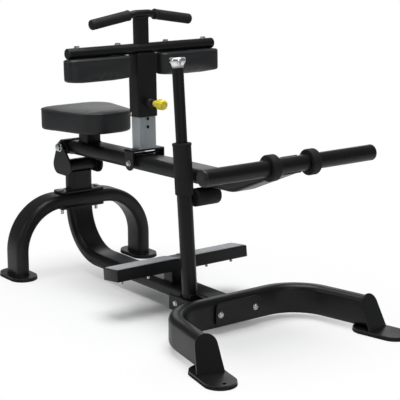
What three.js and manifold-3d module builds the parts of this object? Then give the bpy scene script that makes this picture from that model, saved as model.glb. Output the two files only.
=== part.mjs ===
// Seated calf raise machine: a pivoting arm with a seat, adjustable knee pads and a weight bar,
// carried by a bent tube frame, with a footrest and a swinging lockout lever under the arm.
// Millimetres. X runs forward from the rear upright, Y to the sitting user's left, Z up.

import * as THREE from "three";
import { mergeVertices } from "three/addons/utils/BufferGeometryUtils.js";
import Module from "manifold-3d";

const wasm = await Module();
wasm.setup();

// Shared stock and clearances
const tubeWidth = 100;
const tubeDepth = 50;
const tubeCorner = 20;
const tubeWall = 3;
const plateThickness = 8;
const touchGap = 0.3;
const swingGap = 2;
const cutOverrun = 4;
const boltRadius = 5;
const boltHoleRadius = 5.5;
const boltHeadRadius = 9;
const boltHeadHeight = 6;
const drainHoleRadius = 8;
const weldTolerance = 1e-4;

// Outlines of bolt heads, nuts and end caps, as shares of their own radius and height
const headFaceShare = 0.9;
const headEdgeShare = 0.6;
const nutFaceShare = 0.55;
const nutEdgeShare = 0.5;
const capFaceShare = 0.87;
const capEdgeShare = 0.65;

// Feet
const footRubber = 8;
const footPlate = 6;
const footWidth = 100;
const rearFootLength = 170;
const frontFootLength = 196;
const frontFootAhead = 111;
const footHoleRadius = 6;
const footHoleInset = 20;

// Base: main tube, rear arch and front tube
const archTop = 290;
const archHalfSpan = 266;
const archBend = 174;
const flangeLength = 70;
const flangeWidth = 186;
const flangeCorner = 14;
const flangeBoltAside = 74;
const frontTubeAhead = 925;
const frontTubeBend = 150;
const frontLegEndAhead = 1249;
const frontLegEndAside = 335.5;
const frontLegSplay = 12;
const endPlateWidth = 90;
const endPlateHeight = 118;
const endPlateTopRadius = 37;
const endPlateSlant = 22.5;
const jointPlateWidth = 180;
const jointPlateHeight = 76;
const jointPlateCorner = 18;
const jointBoltAside = 71;

// Rear pivot bracket
const pivotBehind = 14;
const pivotAboveFlange = 160.7;
const bracketPlateWidth = 122;
const bracketFootDrop = 30;
const bracketFootCorner = 34;
const bracketTopRadius = 20;
const bracketInside = 63;
const crossTubeRadius = 26;
const crossTubeDrop = 72;
const crossTubeSeat = 20;
const axleRadius = 10;
const axleHeadRadius = 16;
const axleHeadHeight = 6;
const bushRadius = 16;
const bushFlangeRadius = 22;
const bushFlangeThickness = 3;
const bushLength = 22;
const housingRadius = 28;

// Arm
const armRise = 1.4;
const armBendAhead = 968;
const armBendRadius = 120;
const hornAhead = 1201;
const hornRise = 121;
const hornRadius = 25;
const hornHalfLength = 335;
const hornWall = 4;
const hornSetBack = 13;
const hornCapRadius = 26.5;
const hornCapLength = 12;
const collarRadius = 40;
const collarWidth = 30;
const collarAside = 78;
const collarEdge = 3;

// Seat
const seatLength = 322;
const seatRearWidth = 292;
const seatFrontWidth = 232;
const seatRearCorner = 76;
const seatFrontCorner = 94;
const seatThickness = 76;
const seatCrown = 9;
const seatDrawIn = 5;
const seatRise = 153;
const seatAhead = 88;
const seatBoardThickness = 12;
const seatBoardInset = 26;
const seatPostSide = 60;
const seatPostCorner = 6;
const seatPostAhead = 84;
const seatPlateSide = 124;
const seatPlateCorner = 26;
const seatPlateThickness = 5;

// Knee post
const saddleAhead = 436;
const saddleHalfWidth = 66;
const saddlePlate = 6;
const saddleLength = 52;
const saddleTopAbove = 46;
const saddleFootRadius = 26;
const saddleBoltHeadRadius = 11;
const bumperRadius = 4.5;
const bumperAhead = 8;
const innerTubeDepth = 50;
const innerTubeWidth = 70;
const innerTubeCorner = 6;
const innerTubeWall = 3;
const innerTubeTopAbove = 280;
const pinHoleRadius = 6;
const pinHolePitch = 28;
const pinHolesBelow = 3;
const pinHolesAbove = 2;
const sleeveDepth = 60;
const sleeveWidth = 80;
const sleeveCorner = 8;
const sleeveGap = 1;
const sleeveFootAbove = 157;
const kneeTubeRadius = 18;
const kneeTubeAbove = 388;
const kneeTubeHalfLength = 291;
const kneeCapLength = 6;
const upperPostDepth = 34;
const upperPostWidth = 45;
const upperPostCorner = 4;
const upperPostBack = 5;
const handleRadius = 12.5;
const handleHalfSpan = 203;
const handleEndRise = 88;
const handleMidRise = 117;
const handleMidHalf = 26;
const handleBend = 40;
const gripInset = 3;
const gripRadius = 17.5;
const gripLength = 158;
const gripEndShare = 0.8;

// Knee pads
const padInside = 52;
const padOutside = 313;
const padDepth = 68;
const padAhead = 7;
const padThickness = 74;
const padCorner = 26;
const padCrown = 4;
const padDrawIn = 3;
const padBoltInside = 46;
const padBoltOutside = 55;
const padBoltRadius = 4;
const padBoltHeadRadius = 7;
const padBoltHeadHeight = 5;
const padBoltDepth = 14;

// Pull pin
const pinAbove = 206;
const bossRadius = 15;
const bossFaceRadius = 12;
const bossLength = 40;
const plungerRadius = 4.6;
const knobNeckRadius = 9;
const knobNeckLength = 21;
const knobRadius = 18.5;
const knobLength = 34;
const bossStepShares = [0.45, 0.55];
const knobOutlineShares = [
  [0.9, 0],
  [1, 0.16],
  [1, 0.6],
  [0.78, 0.92],
  [0, 1],
];

// Footrest
const footrestAhead = 622;
const footrestHalfLength = 270;
const footrestDepth = 84;
const footrestThickness = 39;
const footrestTop = 173;
const footrestPitch = 7;
const footrestPostDepth = 50;
const footrestPostWidth = 76;
const treadThickness = 3;
const treadInset = 4;
const treadGap = 46;
const treadRibs = 7;
const treadRibHeight = 1.2;
const treadRibWidth = 3;
const treadBoltInside = 98.5;
const treadBoltOutside = 37;
const treadBoltRadius = 4;
const treadBoltHeadRadius = 7;
const treadBoltHeadHeight = 6;

// Lockout lever
const leverAside = 86;
const leverPivotOut = 110.4;
const leverPivotHeight = 67;
const leverFootOffset = 34;
const leverLean = 4.9;
const leverTubeRadius = 25;
const leverTubeStart = 12;
const leverTubeBeyondRoller = 27;
const leverGripRadius = 30;
const leverGripLength = 167;
const leverGripLip = 31;
const leverUpperRadius = 18.5;
const leverUpperLength = 394;
const leverCapLength = 32;
const leverCapFoot = 19;
const leverCapTop = 26.5;
const leverCapNeckShare = 0.2;
const leverCapOutlineShares = [
  [0.93, 0.5],
  [1, 0.62],
  [1, 0.85],
  [0.9, 1],
];
const leverLugRadius = 20;
const leverLugWidth = 34;
const leverLugHeight = 30;
const leverGripOverlap = 12;
const leverGripLipHeight = 8;
const clevisPlate = 8;
const clevisReach = 36;
const clevisAbovePivot = 23;
const clevisBelowPivot = 27;
const clevisCorner = 4;
const leverBoltRadius = 8;
const leverBoltHeadRadius = 10;

// Roller
const rollerRadius = 30;
const rollerShaftRadius = 8;
const rollerShaftHead = 13;
const rollerInside = 54;
const rollerOutside = 46;
const rollerEdge = 3;
const wearPadLength = 40;
const wearPadWidth = 54;
const wearPadCorner = 5;
const wearPadThickness = 12;
const wearPadAside = 13;

// Sizes worked out from the ones above
const footHeight = footRubber + footPlate;
const baseHeight = footHeight + tubeWidth / 2;
const archCentreTop = archTop - tubeDepth / 2;
const upperFlangeFoot = archTop + touchGap;
const upperFlangeTop = upperFlangeFoot + plateThickness;
const lowerFlangeTop = archTop - tubeDepth - touchGap;
const lowerFlangeFoot = lowerFlangeTop - plateThickness;
const frontTubeBack = frontTubeAhead - tubeDepth / 2;
const frontTubeFace = frontTubeAhead + tubeDepth / 2;
const mainFlangeBack = frontTubeBack - touchGap - plateThickness;
const leverBracketBack = mainFlangeBack - touchGap;
const mainBend = lowerFlangeTop - baseHeight;
const leverPivotAhead = leverBracketBack - leverPivotOut;
const leverFootAhead = leverPivotAhead + leverFootOffset;
const clevisBehind = leverPivotAhead - clevisReach;
const clevisTop = leverPivotHeight + clevisAbovePivot;
const clevisFoot = leverPivotHeight - clevisBelowPivot;
const clevisInside = leverAside - tubeWidth / 2 - touchGap - clevisPlate;
const bracketOutside = bracketInside + plateThickness;
const pivotHeight = upperFlangeTop + pivotAboveFlange;
const crossTubeHeight = pivotHeight - crossTubeDrop;
const bracketPlateFoot = crossTubeHeight - bracketFootDrop;
const hornHeight = pivotHeight + hornRise;
const seatTop = pivotHeight + seatRise;
const sleeveTopAbove = kneeTubeAbove - kneeTubeRadius;
const handleEndAbove = kneeTubeAbove + handleEndRise;
const handleMidAbove = kneeTubeAbove + handleMidRise;
const rise = THREE.MathUtils.degToRad(armRise);
const lean = THREE.MathUtils.degToRad(leverLean);

// Along the leaning lever, the roller stands where it meets the wear pad under the rising arm
const rollerBelowArm = tubeDepth / 2 + wearPadThickness + 2 * touchGap + rollerRadius;
const armDropAtLever =
  (pivotHeight - leverPivotHeight) * Math.cos(rise) + (leverFootAhead + pivotBehind) * Math.sin(rise);
const rollerUp = (armDropAtLever - rollerBelowArm) / Math.cos(rise - lean);
const rollerHeight = leverPivotHeight + rollerUp * Math.cos(lean);
const rollerAhead = leverFootAhead - rollerUp * Math.sin(lean);
const leverTubeEnd = rollerUp + leverTubeBeyondRoller;
const leverGripFoot = leverTubeEnd - leverGripOverlap;
const leverGripEnd = leverGripFoot + leverGripLength;
const leverUpperEnd = leverTubeEnd + leverUpperLength;

// Materials
const finish = (color, roughness, metalness) =>
  new THREE.MeshStandardMaterial({ color, roughness, metalness });
const blackPaint = () => finish(0x1c1c1e, 0.42, 0.2);
const rubber = () => finish(0x161617, 0.85, 0);
const blackPlastic = () => finish(0x1a1a1b, 0.55, 0);
const chrome = () => finish(0xd6d8da, 0.14, 1);
const greyPaint = () => finish(0xb9bcbf, 0.35, 0.4);
const treadSteel = () => finish(0xc4c6c8, 0.38, 0.9);
const upholstery = () => finish(0x2a2b2d, 0.62, 0);
const yellowPlastic = () => finish(0xe6c21c, 0.4, 0);
const nylon = () => finish(0x222224, 0.5, 0);

// A closed geometry as a solid, and a solid as a geometry
function solidOf(geometry) {
  const bare = geometry.index ? geometry.toNonIndexed() : geometry.clone();
  for (const name of Object.keys(bare.attributes)) {
    if (name !== "position") bare.deleteAttribute(name);
  }
  const merged = mergeVertices(bare, weldTolerance);
  return new wasm.Manifold(
    new wasm.Mesh({
      numProp: 3,
      vertProperties: merged.attributes.position.array,
      triVerts: new Uint32Array(merged.index.array),
    }),
  );
}

function geometryOf(solid) {
  const mesh = solid.getMesh();
  const geometry = new THREE.BufferGeometry();
  const position = new Float32Array(mesh.numVert * 3);
  for (let corner = 0; corner < mesh.numVert; corner += 1) {
    const from = corner * mesh.numProp;
    position.set(mesh.vertProperties.subarray(from, from + 3), corner * 3);
  }
  geometry.setAttribute("position", new THREE.BufferAttribute(position, 3));
  geometry.setIndex(new THREE.BufferAttribute(mesh.triVerts, 1));
  const faceted = geometry.toNonIndexed();
  faceted.computeVertexNormals();
  return faceted;
}

const join = (...pieces) => geometryOf(pieces.map(solidOf).reduce((all, piece) => all.add(piece)));
const cut = (base, ...tools) =>
  geometryOf(tools.map(solidOf).reduce((left, tool) => left.subtract(tool), solidOf(base)));

// Basic outlines and solids
function roundedRect(width, height, radius) {
  const x = width / 2;
  const y = height / 2;
  const outline = new THREE.Shape();
  outline.absarc(x - radius, y - radius, radius, 0, Math.PI / 2);
  outline.absarc(radius - x, y - radius, radius, Math.PI / 2, Math.PI);
  outline.absarc(radius - x, radius - y, radius, Math.PI, Math.PI * 1.5);
  outline.absarc(x - radius, radius - y, radius, Math.PI * 1.5, Math.PI * 2);
  outline.closePath();
  return outline;
}

// An outline that narrows ahead: straight sides run tangent to a pair of corners at each end
function tapered(length, rearWidth, frontWidth, rearCorner, frontCorner) {
  const outline = new THREE.Shape();
  const frontX = length / 2 - frontCorner;
  const frontY = frontWidth / 2 - frontCorner;
  const rearX = rearCorner - length / 2;
  const rearY = rearWidth / 2 - rearCorner;
  const span = Math.hypot(rearX - frontX, rearY - frontY);
  const heading = Math.atan2(rearY - frontY, rearX - frontX);
  const lean = heading - Math.acos((frontCorner - rearCorner) / span);
  outline.absarc(frontX, frontY, frontCorner, 0, lean);
  outline.absarc(rearX, rearY, rearCorner, lean, Math.PI);
  outline.absarc(rearX, -rearY, rearCorner, Math.PI, Math.PI * 2 - lean);
  outline.absarc(frontX, -frontY, frontCorner, Math.PI * 2 - lean, Math.PI * 2);
  outline.closePath();
  return outline;
}

function hollow(outline, inner) {
  outline.holes.push(inner);
  return outline;
}

const frameSection = () =>
  hollow(
    roundedRect(tubeDepth, tubeWidth, tubeCorner),
    roundedRect(tubeDepth - 2 * tubeWall, tubeWidth - 2 * tubeWall, tubeCorner - tubeWall),
  );

const extrude = (outline, depth, curveSegments = 3) =>
  new THREE.ExtrudeGeometry(outline, { depth, bevelEnabled: false, curveSegments });

function box(width, depth, height, x, y, z) {
  return new THREE.BoxGeometry(width, depth, height).translate(x, y, z);
}

function rod(radius, length, sides = 24) {
  return new THREE.CylinderGeometry(radius, radius, length, sides);
}

const rodAlongY = (radius, length, x, y, z, sides) => rod(radius, length, sides).translate(x, y, z);
const rodAlongZ = (radius, length, x, y, z, sides) =>
  rod(radius, length, sides).rotateX(Math.PI / 2).translate(x, y, z);
const rodAlongX = (radius, length, x, y, z, sides) =>
  rod(radius, length, sides).rotateZ(Math.PI / 2).translate(x, y, z);

// A profile of [radius, along] pairs turned about Y, with both ends on the axis
const turned = (profile, sides = 28) =>
  new THREE.LatheGeometry(profile.map(([radius, along]) => new THREE.Vector2(radius, along)), sides);

// A path of straight runs and round bends in one plane, with a ring at each end of each run
class BentPath extends THREE.Curve {
  constructor(corners, bend, side, stepsPerBend = 5) {
    super();
    this.side = side;
    this.stations = [];
    const last = corners.length - 1;
    this.addStation(corners[0], corners[1].clone().sub(corners[0]).normalize());
    for (let i = 1; i < last; i += 1) {
      const into = corners[i].clone().sub(corners[i - 1]).normalize();
      const out = corners[i + 1].clone().sub(corners[i]).normalize();
      const turn = into.angleTo(out);
      const start = corners[i].clone().addScaledVector(into, -bend * Math.tan(turn / 2));
      const inward = out.clone().addScaledVector(into, -Math.cos(turn)).normalize();
      const centre = start.clone().addScaledVector(inward, bend);
      for (let step = 0; step <= stepsPerBend; step += 1) {
        const angle = (turn * step) / stepsPerBend;
        const point = centre
          .clone()
          .addScaledVector(inward, -bend * Math.cos(angle))
          .addScaledVector(into, bend * Math.sin(angle));
        const heading = into.clone().multiplyScalar(Math.cos(angle)).addScaledVector(inward, Math.sin(angle));
        this.addStation(point, heading);
      }
    }
    this.addStation(corners[last], corners[last].clone().sub(corners[last - 1]).normalize());
  }

  addStation(point, heading) {
    this.stations.push({ point, heading });
  }

  at(share) {
    return this.stations[Math.round(share * (this.stations.length - 1))];
  }

  getPoint(share) {
    return this.at(share).point.clone();
  }

  getPointAt(share) {
    return this.getPoint(share);
  }

  computeFrenetFrames(steps) {
    const tangents = [];
    const normals = [];
    const binormals = [];
    for (let i = 0; i <= steps; i += 1) {
      const tangent = this.at(i / steps).heading.clone();
      tangents.push(tangent);
      binormals.push(this.side.clone());
      normals.push(this.side.clone().cross(tangent));
    }
    return { tangents, normals, binormals };
  }
}

const sweep = (outline, path, curveSegments = 2) =>
  new THREE.ExtrudeGeometry(outline, { steps: path.stations.length - 1, extrudePath: path, curveSegments });

const point = (x, y, z) => new THREE.Vector3(x, y, z);
const forwards = point(1, 0, 0);
const sideways = point(0, 1, 0);
const upwards = point(0, 0, 1);

// Cushion outline: soft edges as shares of the thickness, waist as a share of the draw-in,
// and crown rings as shares of the way out from the middle
const softEdgeShare = 0.2;
const rimInsetShare = 1.1;
const bendInsetShare = 0.35;
const bendHeightShare = 0.3;
const waistShare = 0.35;
const crownRingShares = [0.72, 0.38];
const cushionSides = 32;

// A cushion: an outline that swells to a crown on top, with drawn-in sides and soft edges
function cushion(outline, length, width, thickness, crown, drawIn) {
  const edge = thickness * softEdgeShare;
  const rimInset = edge * rimInsetShare;
  const bendInset = edge * bendInsetShare;
  const bendHeight = edge * bendHeightShare;
  const levels = [
    [rimInset, 0],
    [bendInset, bendHeight],
    [0, edge],
    [drawIn * waistShare, thickness / 2],
    [0, thickness - edge],
    [bendInset, thickness - bendHeight],
    [rimInset, thickness],
  ];
  const sides = cushionSides;
  const rim = outline.getSpacedPoints(sides).slice(0, sides);
  const corners = [];
  for (const [inset, height] of levels) {
    for (const spot of rim) {
      const bow = drawIn * (1 - Math.abs((spot.x * spot.y * 4) / (length * width)));
      const shrinkX = 1 - (2 * (inset + bow)) / length;
      const shrinkY = 1 - (2 * (inset + bow)) / width;
      corners.push(point(spot.x * shrinkX, spot.y * shrinkY, height));
    }
  }
  const topRing = corners.slice(-sides);
  for (const share of crownRingShares) {
    const height = thickness + crown * (1 - share * share);
    corners.push(...topRing.map((spot) => point(spot.x * share, spot.y * share, height)));
  }
  const rings = levels.length + crownRingShares.length;
  const topCentre = corners.push(point(0, 0, thickness + crown)) - 1;
  const footCentre = corners.push(point(0, 0, 0)) - 1;
  const faces = [];
  for (let i = 0; i < sides; i += 1) {
    const next = (i + 1) % sides;
    for (let ring = 0; ring < rings - 1; ring += 1) {
      const near = ring * sides + i;
      const far = ring * sides + next;
      faces.push(near, far, far + sides, near, far + sides, near + sides);
    }
    faces.push((rings - 1) * sides + i, (rings - 1) * sides + next, topCentre);
    faces.push(next, i, footCentre);
  }
  const geometry = new THREE.BufferGeometry().setFromPoints(corners);
  geometry.setIndex(faces);
  geometry.computeVertexNormals();
  return geometry;
}

// A bolt with its head at one end and a domed nut at the other, as one solid about its middle
function boltProfile(radius, headRadius, headHeight, grip) {
  const half = grip / 2;
  return [
    [0, -half - headHeight],
    [headRadius * headFaceShare, -half - headHeight],
    [headRadius, -half - headHeight * headEdgeShare],
    [headRadius, -half],
    [radius, -half],
    [radius, half],
    [headRadius, half],
    [headRadius, half + headHeight * nutEdgeShare],
    [headRadius * nutFaceShare, half + headHeight],
    [0, half + headHeight],
  ];
}

// A bolt or screw without a nut, from its tip at 0 up to its head
function screwProfile(radius, headRadius, headHeight, grip) {
  return [
    [0, 0],
    [radius, 0],
    [radius, grip],
    [headRadius, grip],
    [headRadius, grip + headHeight * headEdgeShare],
    [headRadius * headFaceShare, grip + headHeight],
    [0, grip + headHeight],
  ];
}

// An end cap with a rounded outer edge, from its seat at 0
function capProfile(radius, length) {
  return [
    [0, 0],
    [radius, 0],
    [radius, length * capEdgeShare],
    [radius * capFaceShare, length],
    [0, length],
  ];
}

const boltAlongY = (radius, headRadius, headHeight, grip, x, y, z) =>
  turned(boltProfile(radius, headRadius, headHeight, grip), 10).translate(x, y, z);
const boltAlongZ = (radius, headRadius, headHeight, grip, x, y, z) =>
  turned(boltProfile(radius, headRadius, headHeight, grip), 10).rotateX(Math.PI / 2).translate(x, y, z);
const boltAlongX = (radius, headRadius, headHeight, grip, x, y, z) =>
  turned(boltProfile(radius, headRadius, headHeight, grip), 10).rotateZ(-Math.PI / 2).translate(x, y, z);

const machine = new THREE.Group();

function add(group, name, geometry, material) {
  const mesh = new THREE.Mesh(geometry, material);
  mesh.name = name;
  group.add(mesh);
  return mesh;
}

// Base frame

function flange(foot) {
  return extrude(roundedRect(flangeLength, flangeWidth, flangeCorner), plateThickness).translate(0, 0, foot);
}

function flangeHoles(foot, height, radius) {
  return [-1, 1].map((side) =>
    rodAlongZ(radius, height + 2 * cutOverrun, 0, side * flangeBoltAside, foot + height / 2, 8),
  );
}

function mainTube() {
  const back = point(0, 0, lowerFlangeFoot);
  const elbow = point(0, 0, baseHeight);
  const front = point(mainFlangeBack, 0, baseHeight);
  const tube = sweep(frameSection(), new BentPath([back, elbow, front], mainBend, sideways));
  const endPlate = extrude(roundedRect(jointPlateHeight, jointPlateWidth, jointPlateCorner), plateThickness)
    .rotateY(Math.PI / 2)
    .translate(front.x, 0, baseHeight);
  const whole = join(tube, flange(lowerFlangeFoot), endPlate);
  const holeDepth = plateThickness + 2 * cutOverrun;
  const boltHoles = [-1, 1].map((side) =>
    rodAlongX(boltHoleRadius, holeDepth, front.x, side * jointBoltAside, baseHeight, 8),
  );
  const drain = rodAlongZ(drainHoleRadius, holeDepth, 0, 0, lowerFlangeFoot, 10);
  return cut(whole, ...flangeHoles(lowerFlangeFoot, plateThickness, boltHoleRadius), ...boltHoles, drain);
}

function rearArch() {
  const footing = footHeight - footPlate;
  const corners = [
    point(0, -archHalfSpan, footing + footPlate / 2),
    point(0, -archHalfSpan, archCentreTop),
    point(0, archHalfSpan, archCentreTop),
    point(0, archHalfSpan, footing + footPlate / 2),
  ];
  const arch = sweep(frameSection(), new BentPath(corners, archBend, forwards));
  const feet = [-1, 1].map((side) =>
    extrude(footOutline(rearFootLength), footPlate).translate(0, side * archHalfSpan, footRubber + touchGap),
  );
  return cut(join(arch, ...feet), ...flangeHoles(archTop - tubeDepth, tubeDepth, boltHoleRadius));
}

const frontSplay = THREE.MathUtils.degToRad(frontLegSplay);
const endSlant = THREE.MathUtils.degToRad(endPlateSlant);
const frontElbowAside = frontLegEndAside - (frontLegEndAhead - frontTubeAhead) * Math.tan(frontSplay);

// Turns a shape made along +X at the right leg's end to either side of the machine
function placeAtFrontLeg(geometry, side) {
  return geometry.rotateZ(side * frontSplay).translate(frontLegEndAhead, side * frontLegEndAside, 0);
}

function frontTube() {
  const reach = tubeWidth * Math.tan(endSlant);
  const endAhead = frontLegEndAhead + reach * Math.cos(frontSplay);
  const endAside = frontLegEndAside + reach * Math.sin(frontSplay);
  const legEnd = (side) => point(endAhead, side * endAside, baseHeight);
  const corners = [
    legEnd(-1),
    point(frontTubeAhead, -frontElbowAside, baseHeight),
    point(frontTubeAhead, frontElbowAside, baseHeight),
    legEnd(1),
  ];
  const tube = sweep(frameSection(), new BentPath(corners, frontTubeBend, upwards));
  const trimSize = 2 * tubeWidth;
  const trims = [-1, 1].map((side) => {
    const block = box(trimSize, trimSize, 2 * trimSize, trimSize / 2, 0, 0);
    return placeAtFrontLeg(block.rotateY(-endSlant).translate(0, 0, footHeight), side);
  });
  const trimmed = cut(tube, ...trims);
  const endPlates = [-1, 1].map((side) => {
    const outline = new THREE.Shape();
    const half = endPlateWidth / 2;
    const topMiddle = endPlateHeight - endPlateTopRadius;
    const topReach = Math.hypot(topMiddle, half);
    const topStart = Math.atan2(half, topMiddle) - Math.PI / 2 - Math.asin(endPlateTopRadius / topReach);
    outline.moveTo(0, -half);
    outline.absarc(topMiddle, 0, endPlateTopRadius, topStart, -topStart);
    outline.lineTo(0, half);
    outline.closePath();
    const plate = extrude(outline, plateThickness, 5).rotateY(-Math.PI / 2 - endSlant);
    return placeAtFrontLeg(plate.translate(plateThickness / 2, 0, footHeight), side);
  });
  const feet = [-1, 1].map((side) => frontFootPlate(side));
  const whole = join(trimmed, ...endPlates, ...feet);
  const jointCut = tubeDepth + 2 * cutOverrun;
  const jointHoles = [-1, 1].map((side) =>
    rodAlongX(boltHoleRadius, jointCut, frontTubeAhead, side * jointBoltAside, baseHeight, 8),
  );
  const holeAhead = frontFootAhead - footHoleInset;
  const holeDepth = footPlate + 2 * cutOverrun;
  const footHoles = [-1, 1].map((side) =>
    placeAtFrontLeg(rodAlongZ(footHoleRadius, holeDepth, holeAhead, 0, footRubber + footPlate / 2, 12), side),
  );
  return cut(whole, ...jointHoles, ...footHoles);
}

// Round-ended outline that a foot plate and its rubber share
const footOutline = (length) => roundedRect(length, footWidth, footWidth / 2 - touchGap);

function frontFootPlate(side) {
  const plate = extrude(footOutline(frontFootLength), footPlate).translate(
    frontFootAhead - frontFootLength / 2,
    0,
    footRubber + touchGap,
  );
  return placeAtFrontLeg(plate, side);
}

const rubberFoot = (length) => extrude(footOutline(length), footRubber);

function jointPlate() {
  const plate = extrude(roundedRect(jointPlateHeight, jointPlateWidth, jointPlateCorner), plateThickness)
    .rotateY(Math.PI / 2)
    .translate(frontTubeFace + touchGap, 0, baseHeight);
  const middle = frontTubeFace + plateThickness / 2;
  const holes = [-1, 1].map((side) =>
    rodAlongX(boltHoleRadius, plateThickness + 2 * cutOverrun, middle, side * jointBoltAside, baseHeight, 8),
  );
  return cut(plate, ...holes);
}

add(machine, "main_tube", mainTube(), blackPaint());
add(machine, "rear_arch", rearArch(), blackPaint());
add(machine, "front_tube", frontTube(), blackPaint());
add(machine, "front_joint_plate", jointPlate(), blackPaint());

for (const [name, side] of [["right", -1], ["left", 1]]) {
  const rear = rubberFoot(rearFootLength).translate(0, side * archHalfSpan, 0);
  add(machine, `rear_foot_${name}`, rear, rubber());
  const front = rubberFoot(frontFootLength).translate(frontFootAhead - frontFootLength / 2, 0, 0);
  add(machine, `front_foot_${name}`, placeAtFrontLeg(front, side), rubber());
  const behind = side < 0 ? leverBracketBack - clevisPlate : mainFlangeBack;
  const jointGrip = frontTubeFace + plateThickness + touchGap - behind + 2 * touchGap;
  add(
    machine,
    `front_joint_bolt_${name}`,
    boltAlongX(
      boltRadius,
      boltHeadRadius,
      boltHeadHeight,
      jointGrip,
      behind - touchGap + jointGrip / 2,
      side * jointBoltAside,
      baseHeight,
    ),
    chrome(),
  );
}

for (const [name, side] of [["right", -1], ["left", 1]]) {
  const grip = upperFlangeTop - lowerFlangeFoot + 2 * touchGap;
  const middle = (upperFlangeTop + lowerFlangeFoot) / 2;
  add(
    machine,
    `flange_bolt_${name}`,
    boltAlongZ(boltRadius, boltHeadRadius, boltHeadHeight, grip, 0, side * flangeBoltAside, middle),
    chrome(),
  );
}

// Rear upright and its pivot bracket

// The angle at which the outer tangent between two circles meets them
const tangentAngle = (dx, dz, from, to) =>
  Math.atan2(dz, dx) - Math.PI / 2 + Math.asin((from - to) / Math.hypot(dx, dz));

// A plate with a broad rounded foot about the upright and a narrow rounded top about the pivot
function bracketPlate(side) {
  const half = bracketPlateWidth / 2 - bracketFootCorner;
  const foot = bracketPlateFoot + bracketFootCorner;
  const lobes = [
    [half, foot, bracketFootCorner],
    [-pivotBehind, pivotHeight, bracketTopRadius],
    [-half, foot, bracketFootCorner],
  ];
  const outline = new THREE.Shape();
  lobes.forEach(([x, z, radius], i) => {
    const [beforeX, beforeZ, beforeRadius] = lobes[(i + 2) % 3];
    const [afterX, afterZ, afterRadius] = lobes[(i + 1) % 3];
    const start = tangentAngle(x - beforeX, z - beforeZ, beforeRadius, radius);
    const end = tangentAngle(afterX - x, afterZ - z, radius, afterRadius);
    outline.absarc(x, z, radius, start, end);
  });
  outline.closePath();
  const plate = extrude(outline, plateThickness, 5).rotateX(Math.PI / 2);
  return plate.translate(0, side > 0 ? bracketOutside : -bracketInside, 0);
}

function rearPost() {
  const postFoot = upperFlangeTop - touchGap;
  const post = extrude(frameSection(), crossTubeHeight - crossTubeSeat - postFoot).translate(0, 0, postFoot);
  const crossLength = 2 * bracketOutside - plateThickness;
  const crossTube = rodAlongY(crossTubeRadius, crossLength, 0, 0, crossTubeHeight, 24);
  const plates = [-1, 1].map((side) => bracketPlate(side));
  const whole = join(post, flange(upperFlangeFoot), crossTube, ...plates);
  const axleCut = 2 * (bracketOutside + cutOverrun);
  const axleHole = rodAlongY(axleRadius + touchGap, axleCut, -pivotBehind, 0, pivotHeight, 14);
  const drainCut = plateThickness + 2 * cutOverrun;
  const drain = rodAlongZ(drainHoleRadius, drainCut, 0, 0, upperFlangeFoot + plateThickness / 2, 10);
  return cut(whole, axleHole, drain, ...flangeHoles(upperFlangeFoot, plateThickness, boltHoleRadius));
}

function pivotAxle() {
  const grip = 2 * (bracketOutside + touchGap);
  return boltAlongY(axleRadius, axleHeadRadius, axleHeadHeight, grip, -pivotBehind, 0, pivotHeight);
}

add(machine, "rear_post", rearPost(), blackPaint());
add(machine, "pivot_axle", pivotAxle(), chrome());

// Footrest

// The footrest is drawn level with its top at 0, then pitched up ahead and lifted to its place
const onFootrest = (geometry) =>
  geometry.rotateY(-THREE.MathUtils.degToRad(footrestPitch)).translate(footrestAhead, 0, footrestTop);

const footrestBarMiddle = -treadThickness - footrestThickness / 2;

function footrestFrame() {
  const length = 2 * footrestHalfLength;
  const bar = box(footrestDepth, length, footrestThickness, 0, 0, footrestBarMiddle);
  const room = box(
    footrestDepth - 2 * tubeWall,
    length - 2 * tubeWall,
    footrestThickness - 2 * tubeWall,
    0,
    0,
    footrestBarMiddle,
  );
  const holeDepth = footrestThickness + 2 * cutOverrun;
  const holes = treadBoltSpots.map((aside) =>
    rodAlongZ(treadBoltRadius + touchGap, holeDepth, 0, aside, footrestBarMiddle, 10),
  );
  const postFoot = baseHeight + tubeDepth / 2 + touchGap;
  const postTop = footrestTop + footrestBarMiddle;
  const postMiddle = (postTop + postFoot) / 2;
  const post = box(footrestPostDepth, footrestPostWidth, postTop - postFoot, footrestAhead, 0, postMiddle);
  return join(onFootrest(cut(bar, room, ...holes)), post);
}

function tread(side) {
  const width = footrestDepth - 2 * treadInset;
  const middle = side * (treadGap / 2 + treadLength / 2);
  const sheetThickness = treadThickness - touchGap;
  const sheet = box(width, treadLength, sheetThickness, 0, middle, -sheetThickness / 2);
  const ribLength = treadLength - 2 * treadRibWidth;
  const ribs = [];
  for (let i = 0; i < treadRibs; i += 1) {
    const x = ((i - (treadRibs - 1) / 2) * width) / treadRibs;
    ribs.push(box(treadRibWidth, ribLength, 2 * treadRibHeight, x, middle, 0));
  }
  return onFootrest(join(sheet, ...ribs));
}

const treadLength = footrestHalfLength - treadInset - treadGap / 2;
const treadBoltSpots = [-1, 1].flatMap((side) =>
  [treadBoltInside, treadLength - treadBoltOutside].map((out) => side * (treadGap / 2 + out)),
);

function treadBolt(aside) {
  const profile = screwProfile(treadBoltRadius, treadBoltHeadRadius, treadBoltHeadHeight, footrestThickness);
  const tip = -treadThickness - touchGap;
  return onFootrest(turned(profile, 10).rotateX(-Math.PI / 2).translate(0, aside, tip));
}

add(machine, "footrest_frame", footrestFrame(), blackPaint());
for (const [name, side] of [["right", -1], ["left", 1]]) {
  add(machine, `footrest_tread_${name}`, tread(side), treadSteel());
}
treadBoltSpots.forEach((aside, i) => {
  add(machine, `tread_bolt_${i + 1}`, treadBolt(aside), chrome());
});

// Lockout lever bracket behind the front tube

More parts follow.
